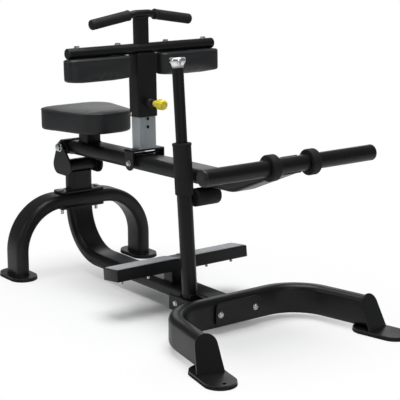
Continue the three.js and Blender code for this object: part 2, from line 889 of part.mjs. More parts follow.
function leverBracket() {
  const back = leverBracketBack;
  const outline = new THREE.Shape();
  const cornerX = clevisBehind + clevisCorner;
  outline.moveTo(back, clevisFoot);
  outline.lineTo(back, clevisTop);
  outline.absarc(cornerX, clevisTop - clevisCorner, clevisCorner, Math.PI / 2, Math.PI);
  outline.absarc(cornerX, clevisFoot + clevisCorner, clevisCorner, Math.PI, Math.PI * 1.5);
  outline.closePath();
  const cheekFaces = [clevisInside + clevisPlate - leverAside, -leverAside - clevisInside];
  const cheeks = cheekFaces.map((y) => extrude(outline, clevisPlate).rotateX(Math.PI / 2).translate(0, y, 0));
  const height = clevisTop - clevisFoot;
  const web = box(clevisPlate, 2 * clevisInside + clevisPlate, height, 0, 0, 0);
  web.translate(back - clevisPlate / 2, -leverAside, clevisFoot + height / 2);
  const pivotHole = rodAlongY(
    leverBoltRadius + touchGap,
    2 * (clevisInside + clevisPlate + cutOverrun),
    leverPivotAhead,
    -leverAside,
    leverPivotHeight,
    20,
  );
  const jointCut = 2 * (clevisPlate + cutOverrun);
  const jointHole = rodAlongX(boltHoleRadius, jointCut, back, -jointBoltAside, baseHeight, 8);
  return cut(join(...cheeks, web), pivotHole, jointHole);
}

function leverPivotBolt() {
  const grip = 2 * (clevisInside + clevisPlate) + touchGap;
  const profile = screwProfile(leverBoltRadius, leverBoltHeadRadius, boltHeadHeight, grip);
  const inner = clevisInside + clevisPlate - leverAside;
  return turned(profile, 14).rotateX(Math.PI).translate(leverPivotAhead, inner, leverPivotHeight);
}

add(machine, "lever_bracket", leverBracket(), blackPaint());
add(machine, "lever_pivot_bolt", leverPivotBolt(), chrome());

// Arm, drawn along +X from the pivot and then raised by its slope at rest

const arm = new THREE.Group();
arm.position.set(-pivotBehind, 0, pivotHeight);
arm.rotation.y = -rise;
machine.add(arm);

// Where a point of the machine lies in the arm's own frame
function inArm(ahead, height) {
  const out = ahead + pivotBehind;
  const up = height - pivotHeight;
  return [out * Math.cos(rise) + up * Math.sin(rise), up * Math.cos(rise) - out * Math.sin(rise)];
}

// How far along the arm a place on its centre line lies
const alongArm = (ahead) => (ahead + pivotBehind) / Math.cos(rise);

const [hornX, hornZ] = inArm(hornAhead, hornHeight);
const armElbowX = alongArm(armBendAhead);
const saddleX = alongArm(saddleAhead);
const armTop = tubeDepth / 2;

function armBeam() {
  const climb = Math.atan2(hornZ, hornX - armElbowX);
  const end = point(hornX - hornSetBack * Math.cos(climb), 0, hornZ - hornSetBack * Math.sin(climb));
  const corners = [point(housingRadius / 2, 0, 0), point(armElbowX, 0, 0), end];
  const tube = sweep(frameSection(), new BentPath(corners, armBendRadius, sideways));
  const housingLength = 2 * (bracketInside - bushFlangeThickness - 2 * touchGap);
  const housing = rodAlongY(housingRadius, housingLength, 0, 0, 0, 24);
  const bore = rodAlongY(axleRadius + touchGap + tubeWall, 2 * bracketInside + cutOverrun, 0, 0, 0, 14);
  const seatFloor = bracketInside - 2 * touchGap - bushLength;
  const seatDepth = bushLength + cutOverrun;
  const seats = [-1, 1].map((side) =>
    rodAlongY(bushRadius + touchGap, seatDepth, 0, side * (seatFloor + seatDepth / 2), 0, 20),
  );
  const horn = rodAlongY(hornRadius + touchGap, tubeWidth + 2 * cutOverrun, hornX, 0, hornZ, 32);
  const wall = cut(join(tube, housing), bore, ...seats, horn);
  const bolt = rodAlongY(boltRadius + touchGap, tubeWidth + 2 * cutOverrun, saddleX, 0, 0, 12);
  return cut(wall, bolt);
}

function pivotBush(side) {
  const outer = bracketInside - touchGap;
  const profile = [
    [axleRadius + touchGap, outer - bushLength],
    [bushRadius, outer - bushLength],
    [bushRadius, outer - bushFlangeThickness],
    [bushFlangeRadius, outer - bushFlangeThickness],
    [bushFlangeRadius, outer],
    [axleRadius + touchGap, outer],
    [axleRadius + touchGap, outer - bushLength],
  ];
  const bush = turned(profile, 14);
  return side > 0 ? bush : bush.rotateX(Math.PI);
}

add(arm, "arm_beam", armBeam(), blackPaint());

function weightBar() {
  const half = hornHalfLength - hornCapLength - touchGap;
  const bore = hornRadius - hornWall;
  const profile = [
    [bore, -half],
    [hornRadius, -half],
    [hornRadius, half],
    [bore, half],
    [bore, -half],
  ];
  return turned(profile, 26).translate(hornX, 0, hornZ);
}

function weightCollar(side) {
  const half = collarWidth / 2;
  const bore = hornRadius + touchGap;
  const profile = [
    [bore, -half],
    [collarRadius - collarEdge, -half],
    [collarRadius, collarEdge - half],
    [collarRadius, half - collarEdge],
    [collarRadius - collarEdge, half],
    [bore, half],
    [bore, -half],
  ];
  return turned(profile, 24).translate(hornX, side * collarAside, hornZ);
}

function weightBarCap(side) {
  const cap = turned(capProfile(hornCapRadius, hornCapLength), 20);
  if (side < 0) cap.rotateX(Math.PI);
  return cap.translate(hornX, side * (hornHalfLength - hornCapLength), hornZ);
}

add(arm, "weight_bar", weightBar(), blackPaint());
for (const [name, side] of [["right", -1], ["left", 1]]) {
  add(arm, `pivot_bush_${name}`, pivotBush(side), nylon());
  add(arm, `weight_collar_${name}`, weightCollar(side), rubber());
  add(arm, `weight_bar_cap_${name}`, weightBarCap(side), blackPlastic());
}

// Seat

const [seatX, seatTopZ] = inArm(seatAhead, seatTop);
const seatPostX = alongArm(seatPostAhead);
const seatFootZ = seatTopZ - seatThickness;

function seatPost() {
  const foot = armTop + touchGap;
  const top = seatFootZ - touchGap;
  const section = hollow(
    roundedRect(seatPostSide, seatPostSide, seatPostCorner),
    roundedRect(seatPostSide - 2 * tubeWall, seatPostSide - 2 * tubeWall, seatPostCorner - tubeWall),
  );
  const tube = extrude(section, top - foot, 2).translate(seatPostX, 0, foot);
  const plateOutline = roundedRect(seatPlateSide, seatPlateSide, seatPlateCorner);
  const plate = extrude(plateOutline, seatPlateThickness).translate(seatX, 0, top - seatPlateThickness);
  return join(tube, plate);
}

function seatOutline(inset) {
  return tapered(
    seatLength - 2 * inset,
    seatRearWidth - 2 * inset,
    seatFrontWidth - 2 * inset,
    seatRearCorner - inset,
    seatFrontCorner - inset,
  );
}

function seatBoard(grow, height) {
  return extrude(seatOutline(seatBoardInset - grow), height).translate(seatX, 0, seatFootZ);
}

function seatPad() {
  const pad = cushion(seatOutline(0), seatLength, seatRearWidth, seatThickness, seatCrown, seatDrawIn);
  pad.translate(seatX, 0, seatFootZ);
  const recess = seatBoard(touchGap, seatBoardThickness + touchGap + cutOverrun).translate(0, 0, -cutOverrun);
  return cut(pad, recess);
}

add(arm, "seat_post", seatPost(), blackPaint());
add(arm, "seat_pad", seatPad(), upholstery());
add(arm, "seat_board", seatBoard(0, seatBoardThickness), blackPlastic());

// Knee post: saddle on the arm, grey inner tube, sliding sleeve with the knee pads and hand bar

function saddle() {
  const half = saddleLength / 2;
  const outline = new THREE.Shape();
  outline.moveTo(half, saddleTopAbove);
  outline.lineTo(-half, saddleTopAbove);
  outline.lineTo(-half, 0);
  outline.absarc(0, 0, saddleFootRadius, Math.PI, Math.PI * 2);
  outline.lineTo(half, 0);
  outline.closePath();
  const cheeks = [saddleHalfWidth, saddlePlate - saddleHalfWidth].map((y) =>
    extrude(outline, saddlePlate, 6).rotateX(Math.PI / 2).translate(saddleX, y, 0),
  );
  const topMiddle = saddleTopAbove - saddlePlate / 2;
  const top = box(saddleLength, 2 * saddleHalfWidth, saddlePlate, saddleX, 0, topMiddle);
  const bumper = rodAlongY(bumperRadius, 2 * saddleHalfWidth - saddlePlate, saddleX + bumperAhead, 0, 0, 12);
  bumper.translate(0, 0, armTop + touchGap + bumperRadius);
  const boltHole = rodAlongY(boltRadius + touchGap, 2 * (saddleHalfWidth + cutOverrun), saddleX, 0, 0, 12);
  return cut(join(...cheeks, top, bumper), boltHole);
}

function saddleBolt() {
  const grip = 2 * (saddleHalfWidth + touchGap);
  return boltAlongY(boltRadius, saddleBoltHeadRadius, boltHeadHeight, grip, saddleX, 0, 0);
}

add(arm, "knee_saddle", saddle(), blackPaint());
add(arm, "saddle_bolt", saddleBolt(), chrome());

const kneePost = new THREE.Group();
kneePost.position.set(saddleX, 0, 0);
arm.add(kneePost);

const pinHoleRow = Array.from(
  { length: pinHolesBelow + pinHolesAbove + 1 },
  (_, i) => pinAbove + (i - pinHolesBelow) * pinHolePitch,
);

function innerTube() {
  const foot = saddleTopAbove + touchGap;
  const bore = roundedRect(
    innerTubeDepth - 2 * innerTubeWall,
    innerTubeWidth - 2 * innerTubeWall,
    innerTubeCorner - innerTubeWall,
  );
  const section = hollow(roundedRect(innerTubeDepth, innerTubeWidth, innerTubeCorner), bore);
  const tube = extrude(section, innerTubeTopAbove - foot, 2).translate(0, 0, foot);
  const holes = pinHoleRow.map((height) =>
    rodAlongX(pinHoleRadius, innerTubeWall + 2 * cutOverrun, innerTubeDepth / 2, 0, height, 10),
  );
  return cut(tube, ...holes);
}

add(kneePost, "knee_inner_tube", innerTube(), greyPaint());

const sleeveFace = sleeveDepth / 2;
const upperPostTop = handleMidAbove - handleRadius - touchGap;

// The pads hang under the cross tube on bolts that pass down through it
const padBoltSpots = [-1, 1].flatMap((side) =>
  [padInside + padBoltInside, padOutside - padBoltOutside].map((aside) => side * aside),
);

function kneeSleeve() {
  const outer = () => roundedRect(sleeveDepth, sleeveWidth, sleeveCorner);
  const boreDepth = innerTubeDepth + 2 * sleeveGap;
  const boreWidth = innerTubeWidth + 2 * sleeveGap;
  const bore = roundedRect(boreDepth, boreWidth, innerTubeCorner + sleeveGap);
  const sleeveLength = sleeveTopAbove - sleeveFootAbove;
  const sleeve = extrude(hollow(outer(), bore), sleeveLength, 2).translate(0, 0, sleeveFootAbove);
  const lidFoot = sleeveTopAbove - touchGap;
  const lid = extrude(outer(), tubeWall, 2).translate(0, 0, lidFoot);
  const crossBar = rodAlongY(kneeTubeRadius, 2 * kneeTubeHalfLength, 0, 0, kneeTubeAbove, 24);
  const upperOutline = roundedRect(upperPostDepth, upperPostWidth, upperPostCorner);
  const upperPost = extrude(upperOutline, upperPostTop - lidFoot, 2);
  upperPost.translate(-upperPostBack, 0, lidFoot);
  const crossCut = 2 * (kneeTubeHalfLength + cutOverrun);
  const crossBore = rodAlongY(kneeTubeRadius - tubeWall, crossCut, 0, 0, kneeTubeAbove, 14);
  const whole = join(sleeve, lid, crossBar, upperPost);
  const pinHole = rodAlongX(plungerRadius + touchGap, sleeveDepth, sleeveFace, 0, pinAbove, 14);
  const padHoles = padBoltSpots.map((y) =>
    rodAlongZ(padBoltRadius + touchGap, 2 * (kneeTubeRadius + cutOverrun), 0, y, kneeTubeAbove, 10),
  );
  return cut(whole, pinHole, crossBore, ...padHoles);
}

add(kneePost, "knee_sleeve", kneeSleeve(), blackPaint());

function kneePad(side) {
  const length = padOutside - padInside;
  const top = kneeTubeAbove - kneeTubeRadius - touchGap;
  const outline = roundedRect(padDepth, length, padCorner);
  const pad = cushion(outline, padDepth, length, padThickness, padCrown, padDrawIn).rotateX(Math.PI);
  pad.translate(padAhead, (side * (padInside + padOutside)) / 2, top);
  const depth = padBoltDepth + 2 * touchGap;
  const middle = top + (cutOverrun - depth) / 2;
  const sockets = padBoltSpots
    .filter((aside) => aside * side > 0)
    .map((aside) => rodAlongZ(padBoltRadius + touchGap, depth + cutOverrun, 0, aside, middle, 10));
  return cut(pad, ...sockets);
}

function kneeTubeCap(side) {
  const cap = turned(capProfile(kneeTubeRadius, kneeCapLength), 18);
  if (side < 0) cap.rotateX(Math.PI);
  return cap.translate(0, side * (kneeTubeHalfLength + touchGap), kneeTubeAbove);
}

for (const [name, side] of [["right", -1], ["left", 1]]) {
  add(kneePost, `knee_pad_${name}`, kneePad(side), upholstery());
  add(kneePost, `knee_tube_cap_${name}`, kneeTubeCap(side), blackPlastic());
}

function padBolt(aside) {
  const tip = kneeTubeAbove - kneeTubeRadius - padBoltDepth;
  const grip = kneeTubeAbove + kneeTubeRadius + touchGap - tip;
  const profile = screwProfile(padBoltRadius, padBoltHeadRadius, padBoltHeadHeight, grip);
  return turned(profile, 10).rotateX(Math.PI / 2).translate(0, aside, tip);
}

padBoltSpots.forEach((aside, i) => {
  add(kneePost, `knee_pad_bolt_${i + 1}`, padBolt(aside), chrome());
});

// Hand bar: one rod bent to a shallow V, with a grip on each arm

const handleSlope = Math.atan2(handleMidAbove - handleEndAbove, handleHalfSpan - handleMidHalf);

function handBar() {
  const corners = [
    point(0, -handleHalfSpan, handleEndAbove),
    point(0, -handleMidHalf, handleMidAbove),
    point(0, handleMidHalf, handleMidAbove),
    point(0, handleHalfSpan, handleEndAbove),
  ];
  const section = new THREE.Shape().absarc(0, 0, handleRadius, 0, Math.PI * 2);
  return sweep(section, new BentPath(corners, handleBend, forwards, 2), 8);
}

// A closed sleeve over the end of the bar
function handGrip(side) {
  const bore = handleRadius + touchGap;
  const profile = [
    [0, gripInset],
    [gripRadius * gripEndShare, gripInset],
    [gripRadius, -gripInset],
    [gripRadius, -gripLength],
    [bore, -gripLength],
    [bore, touchGap],
    [0, touchGap],
    [0, gripInset],
  ].reverse();
  const grip = turned(profile, 16).rotateX(-handleSlope);
  grip.translate(0, handleHalfSpan, handleEndAbove);
  return side > 0 ? grip : grip.rotateZ(Math.PI);
}

add(kneePost, "hand_bar", handBar(), blackPaint());
add(kneePost, "hand_grip_right", handGrip(-1), rubber());
add(kneePost, "hand_grip_left", handGrip(1), rubber());

// Pull pin

function pinBoss() {
  const [stepStart, stepEnd] = bossStepShares.map((share) => share * bossLength);
  const bore = plungerRadius + touchGap;
  const profile = [
    [bore, 0],
    [bossRadius, 0],
    [bossRadius, stepStart],
    [bossFaceRadius, stepEnd],
    [bossFaceRadius, bossLength],
    [bore, bossLength],
    [bore, 0],
  ];
  return turned(profile, 18).rotateZ(-Math.PI / 2).translate(sleeveFace + touchGap, 0, pinAbove);
}

const knobBack = sleeveFace + bossLength + 2 * touchGap;

function pinPlunger() {
  const tip = innerTubeDepth / 2 + touchGap;
  const end = knobBack + knobNeckLength;
  return rodAlongX(plungerRadius, end - tip, (end + tip) / 2, 0, pinAbove, 14);
}

function pinKnob() {
  const bore = plungerRadius + touchGap;
  const depth = knobNeckLength + touchGap;
  const outline = knobOutlineShares.map(([out, along]) => [
    knobRadius * out,
    knobNeckLength + knobLength * along,
  ]);
  const profile = [
    [bore, 0],
    [knobNeckRadius, 0],
    [knobNeckRadius, knobNeckLength],
    ...outline,
    [0, depth],
    [bore, depth],
    [bore, 0],
  ];
  return turned(profile, 18).rotateZ(-Math.PI / 2).translate(knobBack, 0, pinAbove);
}

add(kneePost, "pin_boss", pinBoss(), blackPlastic());
add(kneePost, "pin_plunger", pinPlunger(), chrome());
add(kneePost, "pin_knob", pinKnob(), yellowPlastic());

// Wear pad under the arm, where the roller of the lever stands

const [rollerX, rollerZ] = inArm(rollerAhead, rollerHeight);

function wearPad() {
  const foot = rollerZ + rollerRadius + touchGap;
  const outline = roundedRect(wearPadLength, wearPadWidth, wearPadCorner);
  return extrude(outline, wearPadThickness, 2).translate(rollerX, wearPadAside, foot);
}

add(arm, "wear_pad", wearPad(), nylon());

// Lever: lug and lower tube, rubber sleeve, upper tube and flared cap, drawn up from its foot

const lever = new THREE.Group();
lever.position.set(leverFootAhead, -leverAside, leverPivotHeight);
lever.rotation.y = -lean;
machine.add(lever);

const lugX = (leverPivotAhead - leverFootAhead) * Math.cos(lean);
const lugZ = (leverFootAhead - leverPivotAhead) * Math.sin(lean);

function leverTube() {
  const lowerLength = leverTubeEnd - leverTubeStart;
  const lower = rodAlongZ(leverTubeRadius, lowerLength, 0, 0, leverTubeStart + lowerLength / 2, 24);
  const upperLength = leverUpperEnd - leverTubeEnd + tubeWall;
  const upper = rodAlongZ(leverUpperRadius, upperLength, 0, 0, leverUpperEnd - upperLength / 2, 20);
  const barrel = rodAlongY(leverLugRadius, 2 * (clevisInside - swingGap), lugX, 0, lugZ, 20);
  const lugLength = leverTubeRadius - lugX;
  const lugMiddle = lugZ + leverLugHeight / 2;
  const lug = box(lugLength, leverLugWidth, leverLugHeight, lugX + lugLength / 2, 0, lugMiddle);
  const bore = rodAlongY(leverBoltRadius + touchGap, 2 * (clevisInside + cutOverrun), lugX, 0, lugZ, 14);
  const shaftCut = 2 * (leverTubeRadius + cutOverrun);
  const shaftHole = rodAlongY(rollerShaftRadius + touchGap, shaftCut, 0, 0, rollerUp, 12);
  const lowerRoom = lowerLength - 2 * tubeWall;
  const lowerMiddle = leverTubeStart + lowerLength / 2;
  const lowerBore = rodAlongZ(leverTubeRadius - tubeWall, lowerRoom, 0, 0, lowerMiddle, 14);
  const upperRoom = leverUpperLength + cutOverrun;
  const upperBore = rodAlongZ(leverUpperRadius - tubeWall, upperRoom, 0, 0, leverTubeEnd + upperRoom / 2, 14);
  return cut(join(lower, upper, barrel, lug), bore, shaftHole, lowerBore, upperBore);
}

function leverGrip() {
  const bore = leverTubeRadius + touchGap;
  const upperBore = leverUpperRadius + touchGap;
  const shoulder = leverTubeEnd + touchGap;
  const profile = [
    [bore, leverGripFoot],
    [leverGripRadius, leverGripFoot],
    [leverGripRadius, leverGripEnd - leverGripLipHeight],
    [leverGripLip, leverGripEnd - leverGripLipHeight],
    [leverGripLip, leverGripEnd],
    [upperBore, leverGripEnd],
    [upperBore, shoulder],
    [bore, shoulder],
    [bore, leverGripFoot],
  ];
  return turned(profile, 22).rotateX(Math.PI / 2);
}

function leverCap() {
  const foot = leverUpperEnd + touchGap;
  const flare = leverCapOutlineShares.map(([out, along]) => [
    leverCapTop * out,
    foot + leverCapLength * along,
  ]);
  const profile = [
    [0, foot],
    [leverCapFoot, foot],
    [leverCapFoot, foot + leverCapLength * leverCapNeckShare],
    ...flare,
    [0, foot + leverCapLength],
  ];
  return turned(profile, 24).rotateX(Math.PI / 2);
}

function rollerShaft() {
  const outer = -leverTubeRadius - touchGap;
  const inner = leverAside + rollerOutside + touchGap;
  const profile = screwProfile(rollerShaftRadius, rollerShaftHead, boltHeadHeight, inner - outer);
  return turned(profile, 12).translate(0, outer, rollerUp);
}

function rollerSpacer() {
  const start = leverTubeRadius + touchGap;
  const end = leverAside - rollerInside - touchGap;
  const bore = rollerShaftRadius + touchGap;
  const profile = [
    [bore, start],
    [rollerShaftHead, start],
    [rollerShaftHead, end],
    [bore, end],
    [bore, start],
  ];
  return turned(profile, 16).translate(0, 0, rollerUp);
}

add(lever, "lever_tube", leverTube(), blackPaint());
add(lever, "lever_grip", leverGrip(), rubber());
add(lever, "lever_cap", leverCap(), chrome());
add(lever, "roller_shaft", rollerShaft(), chrome());
add(lever, "roller_spacer", rollerSpacer(), blackPaint());

function roller() {
  const start = leverAside - rollerInside;
  const end = leverAside + rollerOutside;
  const bore = rollerShaftRadius + touchGap;
  const profile = [
    [bore, start],
    [rollerRadius - rollerEdge, start],
    [rollerRadius, start + rollerEdge],
    [rollerRadius, end - rollerEdge],
    [rollerRadius - rollerEdge, end],
    [bore, end],
    [bore, start],
  ];
  return turned(profile, 26).translate(0, 0, rollerUp);
}

add(lever, "support_roller", roller(), rubber());

// The whole machine stands on its feet with its origin under the middle of its outline
const extent = new THREE.Box3().setFromObject(machine);
const middle = extent.getCenter(new THREE.Vector3());
machine.position.set(-middle.x, -middle.y, -extent.min.z);

export default machine;
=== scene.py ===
"""Seated calf raise machine: the looks of every piece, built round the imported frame.

Sizes are in millimetres, measured from the rear upright's axis on the floor: X ahead, Y to the sitting
user's left, Z up. A matrix for each group of pieces turns them into the frame's metres.
"""

import math

import bmesh
import bpy
from mathutils import Matrix, Vector


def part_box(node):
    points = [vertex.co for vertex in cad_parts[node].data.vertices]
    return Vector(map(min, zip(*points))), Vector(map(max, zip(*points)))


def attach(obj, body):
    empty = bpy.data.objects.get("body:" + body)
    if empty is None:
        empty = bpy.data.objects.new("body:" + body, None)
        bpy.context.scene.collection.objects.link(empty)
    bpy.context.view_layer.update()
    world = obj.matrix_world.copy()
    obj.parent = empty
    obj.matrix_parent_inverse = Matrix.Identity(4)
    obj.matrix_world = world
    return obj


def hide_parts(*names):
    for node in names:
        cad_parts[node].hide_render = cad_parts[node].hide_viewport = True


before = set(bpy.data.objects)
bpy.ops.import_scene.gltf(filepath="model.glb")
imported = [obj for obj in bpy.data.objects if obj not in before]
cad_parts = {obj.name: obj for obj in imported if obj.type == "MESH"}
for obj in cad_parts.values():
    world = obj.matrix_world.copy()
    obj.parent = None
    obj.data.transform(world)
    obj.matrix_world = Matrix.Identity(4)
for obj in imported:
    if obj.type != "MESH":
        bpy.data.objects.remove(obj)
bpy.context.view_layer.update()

MM = 0.001
FORWARD = Vector((1, 0, 0))
SIDEWAYS = Vector((0, 1, 0))
UP = Vector((0, 0, 1))
post_low, post_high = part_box("rear_post")
ground = Matrix.Translation(((post_low.x + post_high.x) / 2, 0, 0)) @ Matrix.Scale(MM, 4)


# Main tube: 100 x 50 mm oval steel tube, bent once from the rear flange down to the floor run.
# It is cut, bent, welded to a flange at each end and powder coated satin black. The coat is a few
# tenths thick, rounds every edge and has the faint orange peel of sprayed powder.
def colour(hexcode):
    """An sRGB hex value as linear RGBA."""
    parts = [int(hexcode[i : i + 2], 16) / 255 for i in (1, 3, 5)]
    return [c / 12.92 if c <= 0.04045 else ((c + 0.055) / 1.055) ** 2.4 for c in parts] + [1]


def add_node(tree, kind, links=None, **settings):
    """A new node with its settings; each entry of links is a socket to join or a value to set."""
    node = tree.nodes.new(kind)
    for name, value in settings.items():
        setattr(node, name, value)
    for name, value in (links or {}).items():
        if isinstance(value, bpy.types.NodeSocket):
            tree.links.new(value, node.inputs[name])
        else:
            node.inputs[name].default_value = value
    return node


def new_finish(slot, name, **values):
    """A finish: a pair of slot and material, then the material's tree and the object's own coordinates."""
    material = bpy.data.materials.new(name)
    material.use_nodes = True
    tree = material.node_tree
    for label, value in values.items():
        tree.nodes["Principled BSDF"].inputs[label.replace("_", " ")].default_value = value
    return (slot, material), tree, add_node(tree, "ShaderNodeTexCoord").outputs["Object"]


def vary(tree, pattern, colours, roughness, span=(0, 1), gloss=None, relief=None):
    """Blends a pair of colours and of roughnesses by a pattern, or the roughness by one of its own.

    relief is the bump's pattern, strength and depth in millimetres.
    """
    surface = tree.nodes["Principled BSDF"].inputs
    dark, light = (colour(code) for code in colours)
    tint = add_node(tree, "ShaderNodeMix", {0: pattern, 6: dark, 7: light}, data_type="RGBA")
    spread = {"From Min": span[0], "From Max": span[1], "To Min": roughness[0], "To Max": roughness[1]}
    sheen = add_node(tree, "ShaderNodeMapRange", {"Value": gloss or pattern, **spread})
    tree.links.new(tint.outputs[2], surface["Base Color"])
    tree.links.new(sheen.outputs["Result"], surface["Roughness"])
    if relief:
        height, strength, depth = relief
        bump_links = {"Height": height, "Strength": strength, "Distance": depth * MM}
        bump = add_node(tree, "ShaderNodeBump", bump_links)
        tree.links.new(bump.outputs["Normal"], surface["Normal"])


def per_mm(size):
    """The texture scale at which one feature is that many millimetres across."""
    return 1 / (size * MM)


# Satin powder coat on steel: polyester powder baked to a soft sheen, with peel about 3 mm across,
# which is near the real size, and a slow drift of gloss along each tube
powder_coat, tree, place = new_finish("black_paint", "powder_coated_steel", IOR=1.5, Specular_IOR_Level=0.28)
drift = add_node(tree, "ShaderNodeTexNoise", {"Vector": place, "Scale": per_mm(140), "Detail": 2})
peel = add_node(tree, "ShaderNodeTexNoise", {"Vector": place, "Scale": per_mm(3), "Detail": 3})
orange_peel = (peel.outputs["Fac"], 0.1, 0.6)
vary(tree, drift.outputs["Fac"], ("#0b0b0c", "#121213"), (0.34, 0.42), span=(0.3, 0.7), relief=orange_peel)


QUARTER = math.pi / 2


def at(x, y, z):
    """A place, as a matrix."""
    return Matrix.Translation((x, y, z))


def rotated(angle, axis):
    """A turn about the axis of that name, as a matrix."""
    return Matrix.Rotation(angle, 4, axis)


def rounded(width, height, radius, steps=8):
    """Outline of a rounded rectangle, anticlockwise."""
    outline = []
    for quarter, (right, top) in enumerate(((1, 1), (-1, 1), (-1, -1), (1, -1))):
        for i in range(steps + 1):
            turn = QUARTER * (quarter + i / steps)
            x = right * (width / 2 - radius) + radius * math.cos(turn)
            y = top * (height / 2 - radius) + radius * math.sin(turn)
            outline.append((x, y))
    return outline


def bent(corners, radius, steps=24):
    """Stations along a tube that is bent round its corners: pairs of a point and a heading."""
    corners = [Vector(corner) for corner in corners]
    stations = [(corners[0], (corners[1] - corners[0]).normalized())]
    for before, corner, after in zip(corners, corners[1:], corners[2:]):
        into = (corner - before).normalized()
        out = (after - corner).normalized()
        turn = into.angle(out)
        start = corner - into * radius * math.tan(turn / 2)
        inward = (out - into * math.cos(turn)).normalized()
        for i in range(steps + 1):
            angle = turn * i / steps
            spot = start + inward * radius * (1 - math.cos(angle)) + into * radius * math.sin(angle)
            stations.append((spot, into * math.cos(angle) + inward * math.sin(angle)))
    stations.append((corners[-1], (corners[-1] - corners[-2]).normalized()))
    return stations


def sweep(shape, outline, stations, side, capped=True):
    """Skins an outline along stations: its y lies along side, and its x across that and the path."""
    rings = []
    for spot, heading in stations:
        across = side.cross(heading)
        rings.append([shape.verts.new(spot + across * x + side * y) for x, y in outline])
    count = len(outline)
    for ring, following in zip(rings, rings[1:]):
        for i in range(count):
            shape.faces.new((ring[i], ring[(i + 1) % count], following[(i + 1) % count], following[i]))
    if capped:
        shape.faces.new(rings[0][::-1])
        shape.faces.new(rings[-1])
    return rings


def slab(shape, outline, thickness, where=Matrix(), holes=()):
    """A flat plate from 0 to thickness along its own Z, with any holes, put in its place."""
    loops = [outline, *holes]
    low, high = [], []
    for loop in loops:
        low.append([shape.verts.new(where @ Vector((x, y, 0))) for x, y in loop])
        high.append([shape.verts.new(where @ Vector((x, y, thickness))) for x, y in loop])
        count = len(loop)
        for i in range(count):
            following = (i + 1) % count
            shape.faces.new((low[-1][i], low[-1][following], high[-1][following], high[-1][i]))
    for level in (low, high):
        if holes:
            edges = [shape.edges.get((a, b)) for loop in level for a, b in zip(loop, loop[1:] + loop[:1])]
            bmesh.ops.triangle_fill(shape, use_beauty=True, use_dissolve=True, edges=edges)
        else:
            shape.faces.new(level[0])


def mesh_of(shape, name):
    """Turns a shape into a mesh, and lets the shape go."""
    mesh = bpy.data.meshes.new(name)
    shape.to_mesh(mesh)
    shape.free()
    return mesh


def add_object(name, data):
    """A new object in the scene."""
    thing = bpy.data.objects.new(name, data)
    bpy.context.collection.objects.link(thing)
    return thing


def dress(piece, body, finish, *nodes, edge=0.0, sharp=38):
    """Gives a finished mesh its material and edges, makes it ride its body, and hides the imported parts it
    replaces.
    """
    slot, material = finish
    piece.data.shade_smooth()
    piece.data.set_sharp_from_angle(angle=math.radians(sharp))
    piece.data.materials.clear()
    piece.data.materials.append(material)
    if edge:
        bevel = piece.modifiers.new("rounded edges", "BEVEL")
        bevel.width = edge * MM
        bevel.segments = 3
        bevel.limit_method = "ANGLE"
        bevel.angle_limit = math.radians(sharp)
        bevel.harden_normals = True
    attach(piece, body)
    if nodes:
        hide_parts(*nodes)
    return piece


def fit(shape, name, where, body, finish, *nodes, edge=0.0, sharp=38):
    """Makes a piece of a shape: in its place, smooth, with its edges rounded, and riding its body."""
    bmesh.ops.remove_doubles(shape, verts=shape.verts, dist=0.001)
    shape.transform(where)
    bmesh.ops.recalc_face_normals(shape, faces=shape.faces)
    return dress(add_object(name, mesh_of(shape, name)), body, finish, *nodes, edge=edge, sharp=sharp)


TUBE_WIDE = 100
TUBE_DEEP = 50
TUBE_CORNER = 20
PLATE = 8
GAP = 0.3
tube_outline = rounded(TUBE_DEEP, TUBE_WIDE, TUBE_CORNER)

FOOT_TOP = 14
BASE_HEIGHT = FOOT_TOP + TUBE_WIDE / 2
ARCH_TOP = 290
FLANGE = (70, 186, 14)
LOWER_FLANGE = ARCH_TOP - TUBE_DEEP - GAP - PLATE
UPPER_FLANGE = ARCH_TOP + GAP
MAIN_BEND = LOWER_FLANGE + PLATE - BASE_HEIGHT
FRONT_TUBE_AHEAD = 925
JOINT_PLATE = (76, 180, 18)
END_FLANGE = FRONT_TUBE_AHEAD - TUBE_DEEP / 2 - GAP - PLATE

# A tube's end is let in by SINK where it is welded to a plate
SINK = 1

flat_ahead = rotated(QUARTER, "Y")
weld_lines = {"frame": [], "arm": [], "knee_carriage": [], "lever": []}


def weld_round(body, where, outline, proud=0.8):
    """Notes the line of a weld bead round a tube, a little outside its outline."""
    spots = [Vector((x, y, 0)) for x, y in outline]
    weld_lines[body].append([where @ (spot + spot.normalized() * proud) for spot in spots])


main_corners = [(0, 0, LOWER_FLANGE + SINK), (0, 0, BASE_HEIGHT), (END_FLANGE + SINK, 0, BASE_HEIGHT)]
shape = bmesh.new()
sweep(shape, tube_outline, bent(main_corners, MAIN_BEND), SIDEWAYS)
fit(shape, "main_tube_bent", ground, "frame", powder_coat, "main_tube")
shape = bmesh.new()
slab(shape, rounded(*FLANGE), PLATE, at(0, 0, LOWER_FLANGE))
slab(shape, rounded(*JOINT_PLATE), PLATE, at(END_FLANGE, 0, BASE_HEIGHT) @ flat_ahead)
fit(shape, "main_tube_flanges", ground, "frame", powder_coat, edge=1.2)
weld_round("frame", ground @ at(0, 0, LOWER_FLANGE), tube_outline)
weld_round("frame", ground @ at(END_FLANGE, 0, BASE_HEIGHT) @ flat_ahead, tube_outline)


# Rear arch: the same oval tube bent to an inverted U over the main tube's flange.
# Each leg is welded to a round-ended foot plate, which stands on a moulded rubber pad.
ARCH_HALF_SPAN = 266
ARCH_BEND = 174
FOOT_PLATE = 6
FOOT_RUBBER = 8
REAR_FOOT = 170
FOOT_WIDE = 100
FOOT_STEPS = 16
arch_middle = ARCH_TOP - TUBE_DEEP / 2
plate_foot = FOOT_RUBBER + GAP

